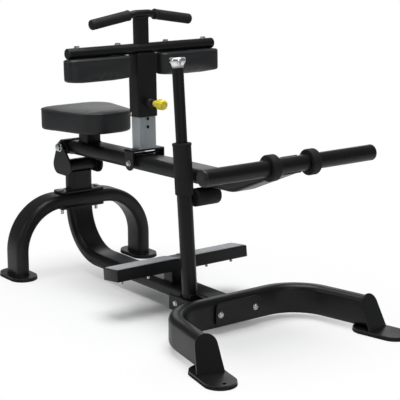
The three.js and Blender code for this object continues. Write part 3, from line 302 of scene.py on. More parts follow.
arch_corners = [
    (0, -ARCH_HALF_SPAN, plate_foot + FOOT_PLATE / 2),
    (0, -ARCH_HALF_SPAN, arch_middle),
    (0, ARCH_HALF_SPAN, arch_middle),
    (0, ARCH_HALF_SPAN, plate_foot + FOOT_PLATE / 2),
]
shape = bmesh.new()
sweep(shape, tube_outline, bent(arch_corners, ARCH_BEND), FORWARD)
fit(shape, "rear_arch_bent", ground, "frame", powder_coat, "rear_arch")
shape = bmesh.new()
for side in (-1, 1):
    foot = at(0, side * ARCH_HALF_SPAN, plate_foot)
    slab(shape, rounded(REAR_FOOT, FOOT_WIDE, FOOT_WIDE / 2 - GAP, FOOT_STEPS), FOOT_PLATE, foot)
    weld_round("frame", ground @ foot @ at(0, 0, FOOT_PLATE) @ rotated(QUARTER, "Z"), tube_outline)
fit(shape, "rear_foot_plates", ground, "frame", powder_coat, edge=0.8)


# Rear upright: a short oval tube between its flange and a cross tube, with two rounded
# triangular plates that carry the pivot axle. The plates are cut 8 mm thick and welded to the cross tube.
PIVOT_BEHIND = 14
PIVOT_HEIGHT = 459
CROSS_RADIUS = 26
CROSS_HEIGHT = 387
CROSS_SEAT = 20
BRACKET_INSIDE = 63
BRACKET_WIDE = 122
BRACKET_FOOT = 357
BRACKET_LOBES = (34, 20)
BRACKET_OUTSIDE = BRACKET_INSIDE + PLATE


def belt_outline(lobes, steps=14):
    """The outline that a belt round circles, given anticlockwise as (x, y, radius), would take."""
    outline = []
    for i, (x, y, radius) in enumerate(lobes):
        before_x, before_y, before_radius = lobes[i - 1]
        after_x, after_y, after_radius = lobes[(i + 1) % len(lobes)]
        into = (x - before_x, y - before_y)
        out = (after_x - x, after_y - y)
        start = math.atan2(into[1], into[0]) - QUARTER
        start += math.asin((before_radius - radius) / math.hypot(*into))
        end = math.atan2(out[1], out[0]) - QUARTER
        end += math.asin((radius - after_radius) / math.hypot(*out))
        end += 2 * math.pi if end < start else 0
        for k in range(steps + 1):
            turn = start + (end - start) * k / steps
            outline.append((x + radius * math.cos(turn), y + radius * math.sin(turn)))
    return outline


def circle(radius, x=0, y=0, sides=48):
    """A round outline."""
    turns = [2 * math.pi * i / sides for i in range(sides)]
    return [(x + radius * math.cos(turn), y + radius * math.sin(turn)) for turn in turns]


def upright_from(y):
    """A plate drawn in X and Z, standing at y and growing towards the right of the machine."""
    return at(0, y, 0) @ rotated(QUARTER, "X")


foot_radius, top_radius = BRACKET_LOBES
lobe_out = BRACKET_WIDE / 2 - foot_radius
bracket_outline = belt_outline(
    [
        (lobe_out, BRACKET_FOOT + foot_radius, foot_radius),
        (-PIVOT_BEHIND, PIVOT_HEIGHT, top_radius),
        (-lobe_out, BRACKET_FOOT + foot_radius, foot_radius),
    ]
)
upper_flange_top = UPPER_FLANGE + PLATE
post_ends = [(0, 0, upper_flange_top - SINK), (0, 0, CROSS_HEIGHT - CROSS_SEAT)]
shape = bmesh.new()
sweep(shape, tube_outline, bent(post_ends, 0), SIDEWAYS)
fit(shape, "rear_post_tube", ground, "frame", powder_coat, "rear_post")
cross_place = upright_from(BRACKET_OUTSIDE - PLATE / 2) @ at(0, CROSS_HEIGHT, 0)
shape = bmesh.new()
slab(shape, circle(CROSS_RADIUS), 2 * BRACKET_OUTSIDE - PLATE, cross_place)
fit(shape, "rear_cross_tube", ground, "frame", powder_coat)
shape = bmesh.new()
slab(shape, rounded(*FLANGE), PLATE, at(0, 0, UPPER_FLANGE))
for outer_face in (BRACKET_OUTSIDE, -BRACKET_INSIDE):
    slab(shape, bracket_outline, PLATE, upright_from(outer_face))
fit(shape, "pivot_bracket_plates", ground, "frame", powder_coat, edge=1.2)
weld_round("frame", ground @ at(0, 0, upper_flange_top), tube_outline)
for face in (BRACKET_INSIDE, -BRACKET_INSIDE):
    weld_round("frame", ground @ upright_from(face) @ at(0, CROSS_HEIGHT, 0), circle(CROSS_RADIUS))


# Front tube: the oval tube bent to a wide U that opens ahead, its legs splayed and cut slanted,
# each closed by a round-topped end plate that stands on the front foot plate.
FRONT_BEND = 150
LEG_END_AHEAD = 1249
LEG_END_ASIDE = 335.5
SPLAY = math.radians(12)
END_PLATE = (90, 118, 37)
END_SLANT = math.radians(22.5)
FRONT_FOOT = 196
FRONT_FOOT_AHEAD = 111
FOOT_HOLE = 6
FOOT_HOLE_INSET = 20
reach = TUBE_WIDE * math.tan(END_SLANT)
elbow_aside = LEG_END_ASIDE - (LEG_END_AHEAD - FRONT_TUBE_AHEAD) * math.tan(SPLAY)


def at_front_leg(side):
    """The frame of a front leg's end: X along the leg, Z up from the floor."""
    return at(LEG_END_AHEAD, side * LEG_END_ASIDE, 0) @ rotated(side * SPLAY, "Z")


shape = bmesh.new()
leg_tips = [at_front_leg(side) @ Vector((reach, 0, BASE_HEIGHT)) for side in (-1, 1)]
elbows = [(FRONT_TUBE_AHEAD, side * elbow_aside, BASE_HEIGHT) for side in (-1, 1)]
sweep(shape, tube_outline, bent([leg_tips[0], *elbows, leg_tips[1]], FRONT_BEND), UP, capped=False)
for side in (-1, 1):
    slant = at_front_leg(side) @ at(0, 0, FOOT_TOP) @ rotated(-END_SLANT, "Y")
    cut_normal = slant.to_3x3() @ FORWARD
    whole = shape.verts[:] + shape.edges[:] + shape.faces[:]
    cut = {"plane_co": slant.translation, "plane_no": cut_normal, "clear_outer": True}
    bmesh.ops.bisect_plane(shape, geom=whole, **cut)
open_edges = [line for line in shape.edges if line.is_boundary]
bmesh.ops.holes_fill(shape, edges=open_edges)
fit(shape, "front_tube_bent", ground, "frame", powder_coat, "front_tube")

shape = bmesh.new()
plate_wide, plate_long, top_radius = END_PLATE
foot_lobes = [(1, plate_wide / 2 - 1, 1), (1, 1 - plate_wide / 2, 1)]  # the square lower corners
end_outline = belt_outline([*foot_lobes, (plate_long - top_radius, 0, top_radius)], 24)
for side in (-1, 1):
    leg_end = at_front_leg(side)
    lean = rotated(-QUARTER - END_SLANT, "Y")
    slab(shape, end_outline, PLATE, leg_end @ at(PLATE / 2, 0, FOOT_TOP) @ lean)
    middle = FRONT_FOOT_AHEAD - FRONT_FOOT / 2
    outline = [(x + middle, y) for x, y in rounded(FRONT_FOOT, FOOT_WIDE, FOOT_WIDE / 2 - GAP, FOOT_STEPS)]
    hole = circle(FOOT_HOLE, FRONT_FOOT_AHEAD - FOOT_HOLE_INSET, 0, 24)
    slab(shape, outline, FOOT_PLATE, leg_end @ at(0, 0, plate_foot), holes=[hole])
fit(shape, "front_end_plates", ground, "frame", powder_coat, edge=1.0)
joint_place = at(FRONT_TUBE_AHEAD + TUBE_DEEP / 2 + GAP, 0, BASE_HEIGHT) @ flat_ahead
shape = bmesh.new()
slab(shape, rounded(*JOINT_PLATE), PLATE, joint_place)
fit(shape, "front_joint_plate_cut", ground, "frame", powder_coat, "front_joint_plate", edge=1.2)


# Rubber feet: four moulded pads under the foot plates, ribbed all round their edge for grip.
# Nitrile rubber, matt, pressed on from below and glued.
SIDES = (("right", -1), ("left", 1))
RIB_RADIUS = 1.1
RIB_PITCH = 3.6
RIB_INSET = 1  # what a rib stops short of the pad's top and bottom


def new_tree(name, **inputs):
    """A geometry tree with a geometry in and out and its own named inputs."""
    tree = bpy.data.node_groups.new(name, "GeometryNodeTree")
    for way in ("INPUT", "OUTPUT"):
        tree.interface.new_socket("Geometry", in_out=way, socket_type="NodeSocketGeometry")
    for label, kind in inputs.items():
        tree.interface.new_socket(label, in_out="INPUT", socket_type=f"NodeSocket{kind}")
    tree.nodes.new("NodeGroupOutput")
    return tree, tree.nodes.new("NodeGroupInput").outputs


def end_tree(tree, copies, finish):
    """Ends a tree: its copies become plain mesh, take their finish and go out."""
    real = add_node(tree, "GeometryNodeRealizeInstances", {"Geometry": copies})
    dressed = add_node(tree, "GeometryNodeSetMaterial", {"Geometry": real.outputs[0], "Material": finish})
    tree.links.new(dressed.outputs[0], tree.nodes["Group Output"].inputs["Geometry"])


def made_plain(piece):
    """Gives a piece the plain mesh that its modifiers make."""
    seen = piece.evaluated_get(bpy.context.evaluated_depsgraph_get())
    piece.data = bpy.data.meshes.new_from_object(seen)
    piece.modifiers.clear()
    return piece


def grow(name, carrier, tree, finish, **values):
    """Runs a geometry tree on a carrier mesh and gives back what it makes, as a plain mesh."""
    holder = add_object(name, carrier)
    modifier = holder.modifiers.new(tree.name, "NODES")
    modifier.node_group = tree
    values["Finish"] = finish[1]
    for item in tree.interface.items_tree:
        if item.name in values:
            modifier[item.identifier] = values[item.name]
    return made_plain(holder)


def pattern(name, shape):
    """A small shape that a geometry tree copies; it is dropped once the copies are made."""
    bmesh.ops.recalc_face_normals(shape, faces=shape.faces)
    mesh = mesh_of(shape, name)
    mesh.shade_smooth()
    mesh.set_sharp_from_angle(angle=math.radians(38))
    return bpy.data.objects.new(name, mesh)


# Nitrile rubber: carbon black, almost no sheen, a fine grain from the mould
moulded_rubber, tree, place = new_finish("rubber", "moulded_rubber", IOR=1.52, Specular_IOR_Level=0.3)
grain = add_node(tree, "ShaderNodeTexNoise", {"Vector": place, "Scale": per_mm(0.9), "Detail": 4})
bloom = add_node(tree, "ShaderNodeTexNoise", {"Vector": place, "Scale": per_mm(45), "Detail": 3})
mould_grain = (grain.outputs["Fac"], 0.25, 0.4)
vary(tree, bloom.outputs["Fac"], ("#0d0d0e", "#161617"), (0.55, 0.8), relief=mould_grain)

# A rib stands at every pitch along the line round a foot's edge
rib_tree, given = new_tree("ribs_round_an_edge", Rib="Object", Pitch="Float", Finish="Material")
edge_line = add_node(rib_tree, "GeometryNodeMeshToCurve", {"Mesh": given["Geometry"]})
pitch_links = {"Curve": edge_line.outputs[0], "Length": given["Pitch"]}
spaced = add_node(rib_tree, "GeometryNodeResampleCurve", pitch_links, mode="LENGTH")
rib = add_node(rib_tree, "GeometryNodeObjectInfo", {"Object": given["Rib"]})
rib_links = {"Points": spaced.outputs[0], "Instance": rib.outputs["Geometry"]}
ribs = add_node(rib_tree, "GeometryNodeInstanceOnPoints", rib_links)
end_tree(rib_tree, ribs.outputs[0], given["Finish"])


def foot_places():
    """Each rubber foot: its name, length and place on the floor."""
    for name, side in SIDES:
        yield f"rear_foot_{name}", REAR_FOOT, at(0, side * ARCH_HALF_SPAN, 0)
        middle = FRONT_FOOT_AHEAD - FRONT_FOOT / 2
        yield f"front_foot_{name}", FRONT_FOOT, at_front_leg(side) @ at(middle, 0, 0)


edge_lines = bmesh.new()
for name, length, where in foot_places():
    outline = rounded(length, FOOT_WIDE, FOOT_WIDE / 2 - GAP, FOOT_STEPS)
    shape = bmesh.new()
    slab(shape, outline, FOOT_RUBBER, where)
    fit(shape, f"{name}_rubber", ground, "frame", moulded_rubber, name, edge=1.0)
    spots = [edge_lines.verts.new(ground @ where @ Vector((x, y, FOOT_RUBBER / 2))) for x, y in outline]
    for spot, following in zip(spots, spots[1:] + spots[:1]):
        edge_lines.edges.new((spot, following))
bmesh.ops.remove_doubles(edge_lines, verts=edge_lines.verts, dist=0.00001)

shape = bmesh.new()
rib_foot = at(0, 0, RIB_INSET - FOOT_RUBBER / 2)
slab(shape, circle(RIB_RADIUS, sides=8), FOOT_RUBBER - 2 * RIB_INSET, rib_foot)
shape.transform(Matrix.Scale(MM, 4))
foot_rib = pattern("foot_rib", shape)
line_mesh = mesh_of(edge_lines, "foot_edges")
foot_ribs = grow("foot_edge_ribs", line_mesh, rib_tree, moulded_rubber, Rib=foot_rib, Pitch=RIB_PITCH * MM)
dress(foot_ribs, "frame", moulded_rubber)


# Footrest: a black box-section bar, pitched up ahead, with a ribbed steel tread on each half.
# The treads are roll-formed from galvanised strip, and screws from below hold them down.
FOOTREST_AHEAD = 622
FOOTREST_HALF = 270
FOOTREST_DEEP = 84
FOOTREST_THICK = 39
FOOTREST_TOP = 173
FOOTREST_CORNER = 1.5
FOOTREST_PITCH = math.radians(7)
FOOTREST_POST = (50, 76, 5)
FOOTREST_POST_SINK = (2, 6)  # into the main tube and into the bar
TREAD_THICK = 3
TREAD_INSET = 4
TREAD_GAP = 46
TREAD_RIBS = 7
TREAD_RIB = (3, 1.2)
TREAD_RIB_SINK = 0.5
TREAD_CORNER = 5
TREAD_SCREWS = (-229, -121.5, 121.5, 229)

rest_place = ground @ at(FOOTREST_AHEAD, 0, FOOTREST_TOP) @ rotated(-FOOTREST_PITCH, "Y")
bar_foot = -FOOTREST_THICK - TREAD_THICK
bar_outline = rounded(FOOTREST_DEEP, 2 * FOOTREST_HALF, FOOTREST_CORNER, 3)
shape = bmesh.new()
slab(shape, bar_outline, FOOTREST_THICK, at(0, 0, bar_foot))
fit(shape, "footrest_bar", rest_place, "frame", powder_coat, "footrest_frame", edge=2.0, sharp=40)
post_outline = rounded(*FOOTREST_POST)
post_foot = BASE_HEIGHT + TUBE_DEEP / 2
sink_below, sink_above = FOOTREST_POST_SINK
post_long = FOOTREST_TOP + bar_foot - post_foot + sink_below + sink_above
shape = bmesh.new()
slab(shape, post_outline, post_long, at(FOOTREST_AHEAD, 0, post_foot - sink_below))
fit(shape, "footrest_post", ground, "frame", powder_coat)
weld_round("frame", ground @ at(FOOTREST_AHEAD, 0, post_foot), post_outline)
weld_round("frame", rest_place @ at(bar_foot * math.tan(FOOTREST_PITCH), 0, bar_foot), post_outline)

# Galvanised strip: brushed along the roll, with worn bright crests and a dull zinc bloom between
tread_steel, tree, place = new_finish("tread_steel", "ribbed_zinc_steel", Metallic=1.0)
streak_space = add_node(tree, "ShaderNodeMapping", {"Vector": place, "Scale": (1, 0.03, 1)})
streak_links = {"Vector": streak_space.outputs[0], "Scale": per_mm(0.8), "Detail": 4}
streak = add_node(tree, "ShaderNodeTexNoise", streak_links).outputs["Fac"]
spangle = add_node(tree, "ShaderNodeTexVoronoi", {"Vector": place, "Scale": per_mm(9)})
mixed = add_node(tree, "ShaderNodeMath", {0: streak, 1: spangle.outputs["Distance"]}, operation="ADD")
vary(tree, mixed.outputs[0], ("#8d9093", "#c3c5c7"), (0.32, 0.5), relief=(streak, 0.12, 0.3))

# A row of copies runs from each starting point
row_tree, given = new_tree("row_of_copies", Copy="Object", Count="Int", Step="Vector", Finish="Material")
row_links = {"Count": given["Count"], "Offset": given["Step"]}
row = add_node(row_tree, "GeometryNodeMeshLine", row_links, count_mode="TOTAL", mode="OFFSET")
points = add_node(row_tree, "GeometryNodeMeshToPoints", {"Mesh": given["Geometry"]})
rows_links = {"Points": points.outputs[0], "Instance": row.outputs[0]}
rows = add_node(row_tree, "GeometryNodeInstanceOnPoints", rows_links)
real_rows = add_node(row_tree, "GeometryNodeRealizeInstances", {"Geometry": rows.outputs[0]})
copied = add_node(row_tree, "GeometryNodeObjectInfo", {"Object": given["Copy"]})
copy_links = {"Points": real_rows.outputs[0], "Instance": copied.outputs["Geometry"]}
copies = add_node(row_tree, "GeometryNodeInstanceOnPoints", copy_links)
end_tree(row_tree, copies.outputs[0], given["Finish"])

tread_length = FOOTREST_HALF - TREAD_INSET - TREAD_GAP / 2
tread_wide = FOOTREST_DEEP - 2 * TREAD_INSET
starts = bmesh.new()
for name, side in SIDES:
    shape = bmesh.new()
    middle = side * (TREAD_GAP / 2 + tread_length / 2)
    sheet = at(0, middle, GAP - TREAD_THICK)
    slab(shape, rounded(tread_wide, tread_length, TREAD_CORNER), TREAD_THICK - GAP, sheet)
    node = f"footrest_tread_{name}"
    fit(shape, f"{node}_plate", rest_place, "frame", tread_steel, node, edge=1.0)
    starts.verts.new(Vector(((TREAD_RIBS - 1) / -2 * tread_wide / TREAD_RIBS, middle, 0)) * MM)
rib_wide, rib_high = TREAD_RIB
rib_half = tread_length / 2 - 2 * rib_wide
rib_outline = [(-rib_wide / 2, -TREAD_RIB_SINK), (rib_wide / 2, -TREAD_RIB_SINK)]
for i in range(9):
    turn = math.pi * i / 8
    rib_outline.append((rib_wide / 2 * math.cos(turn), rib_high * math.sin(turn)))
shape = bmesh.new()
slab(shape, rib_outline, 2 * rib_half, at(0, rib_half, 0) @ rotated(QUARTER, "X"))
shape.transform(Matrix.Scale(MM, 4))
tread_rib = pattern("tread_rib", shape)
step = (tread_wide / TREAD_RIBS * MM, 0, 0)
start_mesh = mesh_of(starts, "tread_rib_starts")
in_row = {"Copy": tread_rib, "Count": TREAD_RIBS, "Step": step}
tread_ribs = grow("tread_ribs", start_mesh, row_tree, tread_steel, **in_row)
tread_ribs.data.transform(rest_place @ Matrix.Scale(1 / MM, 4))
dress(tread_ribs, "frame", tread_steel)


# Lever bracket: two rounded cheeks on a web, pressed and welded from 8 mm plate.
# It is bolted behind the front tube by the same bolts as the main tube's end.
LEVER_ASIDE = 86
LEVER_HEIGHT = 67
BRACKET_BACK = END_FLANGE - GAP
LEVER_PIVOT_BEHIND = 110.4
LEVER_PIVOT = BRACKET_BACK - LEVER_PIVOT_BEHIND
CLEVIS_REACH = 36
CLEVIS_TOP = 90
CLEVIS_FOOT = 40
CLEVIS_CORNER = 4
CLEVIS_PLATE = 8
CLEVIS_INSIDE = LEVER_ASIDE - TUBE_WIDE / 2 - GAP - CLEVIS_PLATE

round_x = LEVER_PIVOT - CLEVIS_REACH + CLEVIS_CORNER
cheek_outline = [(BRACKET_BACK, CLEVIS_FOOT), (BRACKET_BACK, CLEVIS_TOP)]
for height, first in ((CLEVIS_TOP - CLEVIS_CORNER, 90), (CLEVIS_FOOT + CLEVIS_CORNER, 180)):
    for step in range(11):
        turn = math.radians(first + 9 * step)
        spot = (round_x + CLEVIS_CORNER * math.cos(turn), height + CLEVIS_CORNER * math.sin(turn))
        cheek_outline.append(spot)
shape = bmesh.new()
for face in (CLEVIS_INSIDE + CLEVIS_PLATE - LEVER_ASIDE, -LEVER_ASIDE - CLEVIS_INSIDE):
    slab(shape, cheek_outline, CLEVIS_PLATE, upright_from(face))
web_outline = rounded(CLEVIS_TOP - CLEVIS_FOOT, 2 * CLEVIS_INSIDE + CLEVIS_PLATE, 1)
web_place = at(BRACKET_BACK - CLEVIS_PLATE, -LEVER_ASIDE, (CLEVIS_TOP + CLEVIS_FOOT) / 2)
slab(shape, web_outline, CLEVIS_PLATE, web_place @ flat_ahead)
fit(shape, "lever_bracket_plates", ground, "frame", powder_coat, "lever_bracket", edge=1.2)


# Bolts and nuts of the frame: zinc plated steel, hexagon heads on washers, with locking nuts.
# Button heads sit on the front joint. They are cold formed, and each is tightened to its own angle.
HEX_FLAT = 0.86
WASHER = 0.14
HEAD_SIDES = 48
HEAD = 9
FLANGE_BOLTS = 74
JOINT_BOLTS = 71
TREAD_HEAD = 7
AXLE_HEAD = 15
LEVER_HEAD = 8
LEVER_NUT = 7
BOLT_END = (6, 22)
SCREW_END = (5, 16)


def hexagon(flat):
    """The radius of a hexagon with that half width, by angle."""
    return lambda turn: flat / math.cos((turn + math.pi / 6) % (math.pi / 3) - math.pi / 6)


def lathe(shape, profile, where=Matrix(), sides=64):
    """Turns a profile of (radius, height) about Z; a radius may be a number or follow the angle."""
    rings = []
    for radius, height in profile:
        if radius == 0:
            rings.append([shape.verts.new(where @ Vector((0, 0, height)))])
            continue
        ring = []
        for i in range(sides):
            turn = 2 * math.pi * i / sides
            r = radius(turn) if callable(radius) else radius
            h = height(turn) if callable(height) else height
            ring.append(shape.verts.new(where @ Vector((r * math.cos(turn), r * math.sin(turn), h))))
        rings.append(ring)
    for ring, following in zip(rings, rings[1:]):
        for i in range(sides):
            j = (i + 1) % sides
            near = [ring[i % len(ring)], ring[j % len(ring)]]
            far = [following[j % len(following)], following[i % len(following)]]
            shape.faces.new(list(dict.fromkeys(near + far)))
    for ring in (rings[0], rings[-1]):
        if len(ring) > 1 and profile[0] != profile[-1]:
            shape.faces.new(ring)


def chamfered(flat, height):
    """The height of a hexagon's side where a 30 degree cone trims its corners."""
    return lambda turn: height - math.tan(math.radians(30)) * (hexagon(flat)(turn) - flat)


def rod(radius, low, high):
    """The profile of a solid round bar."""
    return [(0, low), (radius, low), (radius, high), (0, high)]


def hollow(inner, outer, low, high):
    """The profile of a bush or spacer, closed on itself."""
    return [(inner, low), (outer, low), (outer, high), (inner, high), (inner, low)]


def washer(radius):
    """The profile of a washer whose top is at WASHER."""
    return [(radius, -0.02), (radius, WASHER - 0.04), (radius - 0.06, WASHER), (0.5, WASHER)]


def hex_head(height=0.68):
    """A washer and a hexagon with chamfered corners, one unit in radius."""
    shape = bmesh.new()
    lathe(shape, washer(1.12), sides=HEAD_SIDES)
    sides = hexagon(HEX_FLAT)
    body = [(sides, WASHER), (sides, chamfered(HEX_FLAT, height)), (HEX_FLAT * 0.98, height + 0.01)]
    lathe(shape, body, sides=HEAD_SIDES)
    return shape


def lock_nut():
    """A washer, a hexagon nut with its collar, and the thread's end, one unit in radius."""
    shape = hex_head(0.56)
    lathe(shape, [(0.8, 0.55), (0.8, 0.66), (0.72, 0.74), (0.56, 0.76), (0.56, 0.6)], sides=HEAD_SIDES)
    lathe(shape, [(0.52, 0.6), (0.52, 0.84), (0.44, 0.92)], sides=HEAD_SIDES)
    return shape


def button_head():
    """A washer and a domed head with a hexagon socket, one unit in radius."""
    shape = bmesh.new()
    lathe(shape, washer(1.2), sides=HEAD_SIDES)
    turns = [math.radians(degrees) for degrees in range(0, 61, 10)]
    dome = [(0.98 * math.cos(turn), 0.16 + 0.5 * math.sin(turn)) for turn in turns]
    socket = [(hexagon(0.4), 0.585), (hexagon(0.38), 0.56), (hexagon(0.38), 0.3)]
    lathe(shape, dome + socket, sides=HEAD_SIDES)
    return shape


# Zinc plated steel: bright, slightly blue passivated, with soft blotches where it was barrelled
plated_steel, tree, place = new_finish("chrome", "zinc_plated_steel", Metallic=1.0)
blotch = add_node(tree, "ShaderNodeTexNoise", {"Vector": place, "Scale": per_mm(6), "Detail": 4})
vary(tree, blotch.outputs["Fac"], ("#a9acae", "#dcdee0"), (0.16, 0.34))

# A head stands on each seat, faces the way that the seat says, and is turned by chance about its axis
seat_tree, given = new_tree("heads_on_seats", Head="Object", Seed="Int", Finish="Material")
seats = add_node(seat_tree, "GeometryNodeMeshToPoints", {"Mesh": given["Geometry"]})
aim = add_node(seat_tree, "GeometryNodeInputNamedAttribute", {"Name": "aim"}, data_type="FLOAT_VECTOR")
size = add_node(seat_tree, "GeometryNodeInputNamedAttribute", {"Name": "head_radius"}, data_type="FLOAT")
upright = add_node(seat_tree, "FunctionNodeAlignRotationToVector", {"Vector": aim.outputs[0]}, axis="Z")
full_turn = {2: 0.0, 3: math.tau, 8: given["Seed"]}
spin = add_node(seat_tree, "FunctionNodeRandomValue", full_turn, data_type="FLOAT")
twist = add_node(seat_tree, "FunctionNodeAxisAngleToRotation", {"Axis": (0, 0, 1), "Angle": spin.outputs[1]})
twist_links = {"Rotation": upright.outputs[0], "Rotate By": twist.outputs[0]}
turned = add_node(seat_tree, "FunctionNodeRotateRotation", twist_links, rotation_space="LOCAL")
head = add_node(seat_tree, "GeometryNodeObjectInfo", {"Object": given["Head"]})
head_links = {"Points": seats.outputs[0], "Instance": head.outputs["Geometry"]}
head_links.update({"Rotation": turned.outputs[0], "Scale": size.outputs[0]})
heads = add_node(seat_tree, "GeometryNodeInstanceOnPoints", head_links)
end_tree(seat_tree, heads.outputs[0], given["Finish"])
head_kinds = {"hex": hex_head, "nut": lock_nut, "button": button_head}
head_shapes = {kind: pattern(kind, make()) for kind, make in head_kinds.items()}


def seat_heads(name, kind, body, where, seats, *nodes, seed=1):
    """Puts plated heads of one kind on their seats: each a spot, the way it faces, and its radius."""
    mesh = bpy.data.meshes.new(name)
    mesh.from_pydata([where @ Vector(spot) for spot, _, _ in seats], [], [])
    aims = mesh.attributes.new("aim", "FLOAT_VECTOR", "POINT")
    for item, (_, facing, _) in zip(aims.data, seats):
        item.vector = (where.to_3x3() @ Vector(facing)).normalized()
    sizes = mesh.attributes.new("head_radius", "FLOAT", "POINT")
    for item, (_, _, radius) in zip(sizes.data, seats):
        item.value = radius * MM
    heads = grow(name, mesh, seat_tree, plated_steel, Head=head_shapes[kind], Seed=seed)
    return dress(heads, body, plated_steel, *nodes)


flange_heads = [((0, side * FLANGE_BOLTS, upper_flange_top), (0, 0, 1), HEAD) for side in (-1, 1)]
flange_nuts = [((0, side * FLANGE_BOLTS, LOWER_FLANGE), (0, 0, -1), HEAD) for side in (-1, 1)]
joint_face = FRONT_TUBE_AHEAD + TUBE_DEEP / 2 + GAP + PLATE
joint_backs = {-1: BRACKET_BACK - CLEVIS_PLATE, 1: END_FLANGE}
joint_heads = [((joint_face, side * JOINT_BOLTS, BASE_HEIGHT), (1, 0, 0), HEAD) for side in (-1, 1)]
joint_nuts = [((joint_backs[side], side * JOINT_BOLTS, BASE_HEIGHT), (-1, 0, 0), HEAD) for side in (-1, 1)]
tread_heads = [((0, y, bar_foot), (0, 0, -1), TREAD_HEAD) for y in TREAD_SCREWS]
axle_head = [((-PIVOT_BEHIND, -BRACKET_OUTSIDE, PIVOT_HEIGHT), (0, -1, 0), AXLE_HEAD)]
axle_nut = [((-PIVOT_BEHIND, BRACKET_OUTSIDE, PIVOT_HEIGHT), (0, 1, 0), AXLE_HEAD)]
clevis_face = CLEVIS_INSIDE + CLEVIS_PLATE
lever_head = [((LEVER_PIVOT, -LEVER_ASIDE - clevis_face, LEVER_HEIGHT), (0, -1, 0), LEVER_HEAD)]
lever_nut = [((LEVER_PIVOT, clevis_face - LEVER_ASIDE, LEVER_HEIGHT), (0, 1, 0), LEVER_NUT)]
flange_bolts = [f"flange_bolt_{name}" for name, _ in SIDES]
joint_bolts = [f"front_joint_bolt_{name}" for name, _ in SIDES]
tread_bolts = [f"tread_bolt_{i}" for i in (1, 2, 3, 4)]
pivot_bolts = ("pivot_axle", "lever_pivot_bolt")
seat_heads("flange_bolt_heads", "hex", "frame", ground, flange_heads, *flange_bolts)
seat_heads("joint_bolt_heads", "button", "frame", ground, joint_heads, *joint_bolts)
seat_heads("tread_screw_heads", "hex", "frame", rest_place, tread_heads, *tread_bolts, seed=4)
seat_heads("pivot_heads", "hex", "frame", ground, axle_head + lever_head, *pivot_bolts)
shape = bmesh.new()
upside_down = rotated(math.pi, "X")
in_footrest = ground.inverted() @ rest_place
for seats, end, where in ((flange_nuts, BOLT_END, Matrix()), (tread_heads, SCREW_END, in_footrest)):
    radius, long = end
    for spot, _, _ in seats:
        lathe(shape, rod(radius, 0, long), where @ at(*spot) @ upside_down, sides=24)
fit(shape, "bolt_ends", ground, "frame", plated_steel, edge=0.8)
seat_heads("frame_nuts", "nut", "frame", ground, flange_nuts + joint_nuts + axle_nut + lever_nut, seed=7)


# Arm: the oval tube again, bent up at its end and coped round the weight bar.
# A turned housing at the back holds two flanged nylon bushes that run on the pivot axle.
ARM_RISE = math.radians(1.4)
ARM_BEND_AHEAD = 968
ARM_BEND = 120
BAR_AHEAD = 1201
BAR_HEIGHT = 580
BAR_SET_BACK = 13
HOUSING_RADIUS = 28
HOUSING_WELD = 23.5
AXLE_RADIUS = 10
BUSH_FLANGE = (22, 3)
arm_place = ground @ at(-PIVOT_BEHIND, 0, PIVOT_HEIGHT) @ rotated(-ARM_RISE, "Y")


def in_arm(ahead, height):
    """Where a point of the machine lies along and above the arm."""
    spot = arm_place.inverted() @ ground @ Vector((ahead, 0, height))
    return spot.x, spot.z


bar_x, bar_z = in_arm(BAR_AHEAD, BAR_HEIGHT)
elbow_x = (ARM_BEND_AHEAD + PIVOT_BEHIND) / math.cos(ARM_RISE)
climb = math.atan2(bar_z, bar_x - elbow_x)
arm_end = (bar_x - BAR_SET_BACK * math.cos(climb), 0, bar_z - BAR_SET_BACK * math.sin(climb))
arm_corners = [(HOUSING_RADIUS / 2, 0, 0), (elbow_x, 0, 0), arm_end]
shape = bmesh.new()
sweep(shape, tube_outline, bent(arm_corners, ARM_BEND), SIDEWAYS)
fit(shape, "arm_tube_bent", arm_place, "arm", powder_coat, "arm_beam")
aside = rotated(-QUARTER, "X")
flange_out, flange_thick = BUSH_FLANGE
housing_half = BRACKET_INSIDE - flange_thick - 2 * GAP
shape = bmesh.new()
lathe(shape, rod(HOUSING_RADIUS, -housing_half, housing_half), aside)
fit(shape, "pivot_housing", arm_place, "arm", powder_coat, edge=1.0)
weld_lines["arm"].append([arm_place @ Vector((HOUSING_WELD, y, x)) for x, y in tube_outline])

# Bearing nylon: filled black, satin, with a faint flow mark
bearing_nylon, tree, place = new_finish("nylon", "bearing_nylon", IOR=1.53)
flow = add_node(tree, "ShaderNodeTexNoise", {"Vector": place, "Scale": per_mm(12), "Detail": 3})
vary(tree, flow.outputs["Fac"], ("#1d1d1f", "#2b2b2e"), (0.4, 0.55))
outer = BRACKET_INSIDE - GAP
for name, side in SIDES:
    shape = bmesh.new()
    flange = hollow(AXLE_RADIUS + GAP, flange_out, outer - flange_thick, outer)
    lathe(shape, flange, rotated(-side * QUARTER, "X"))
    fit(shape, f"bush_{name}_flange", arm_place, "arm", bearing_nylon, f"pivot_bush_{name}", edge=0.5)


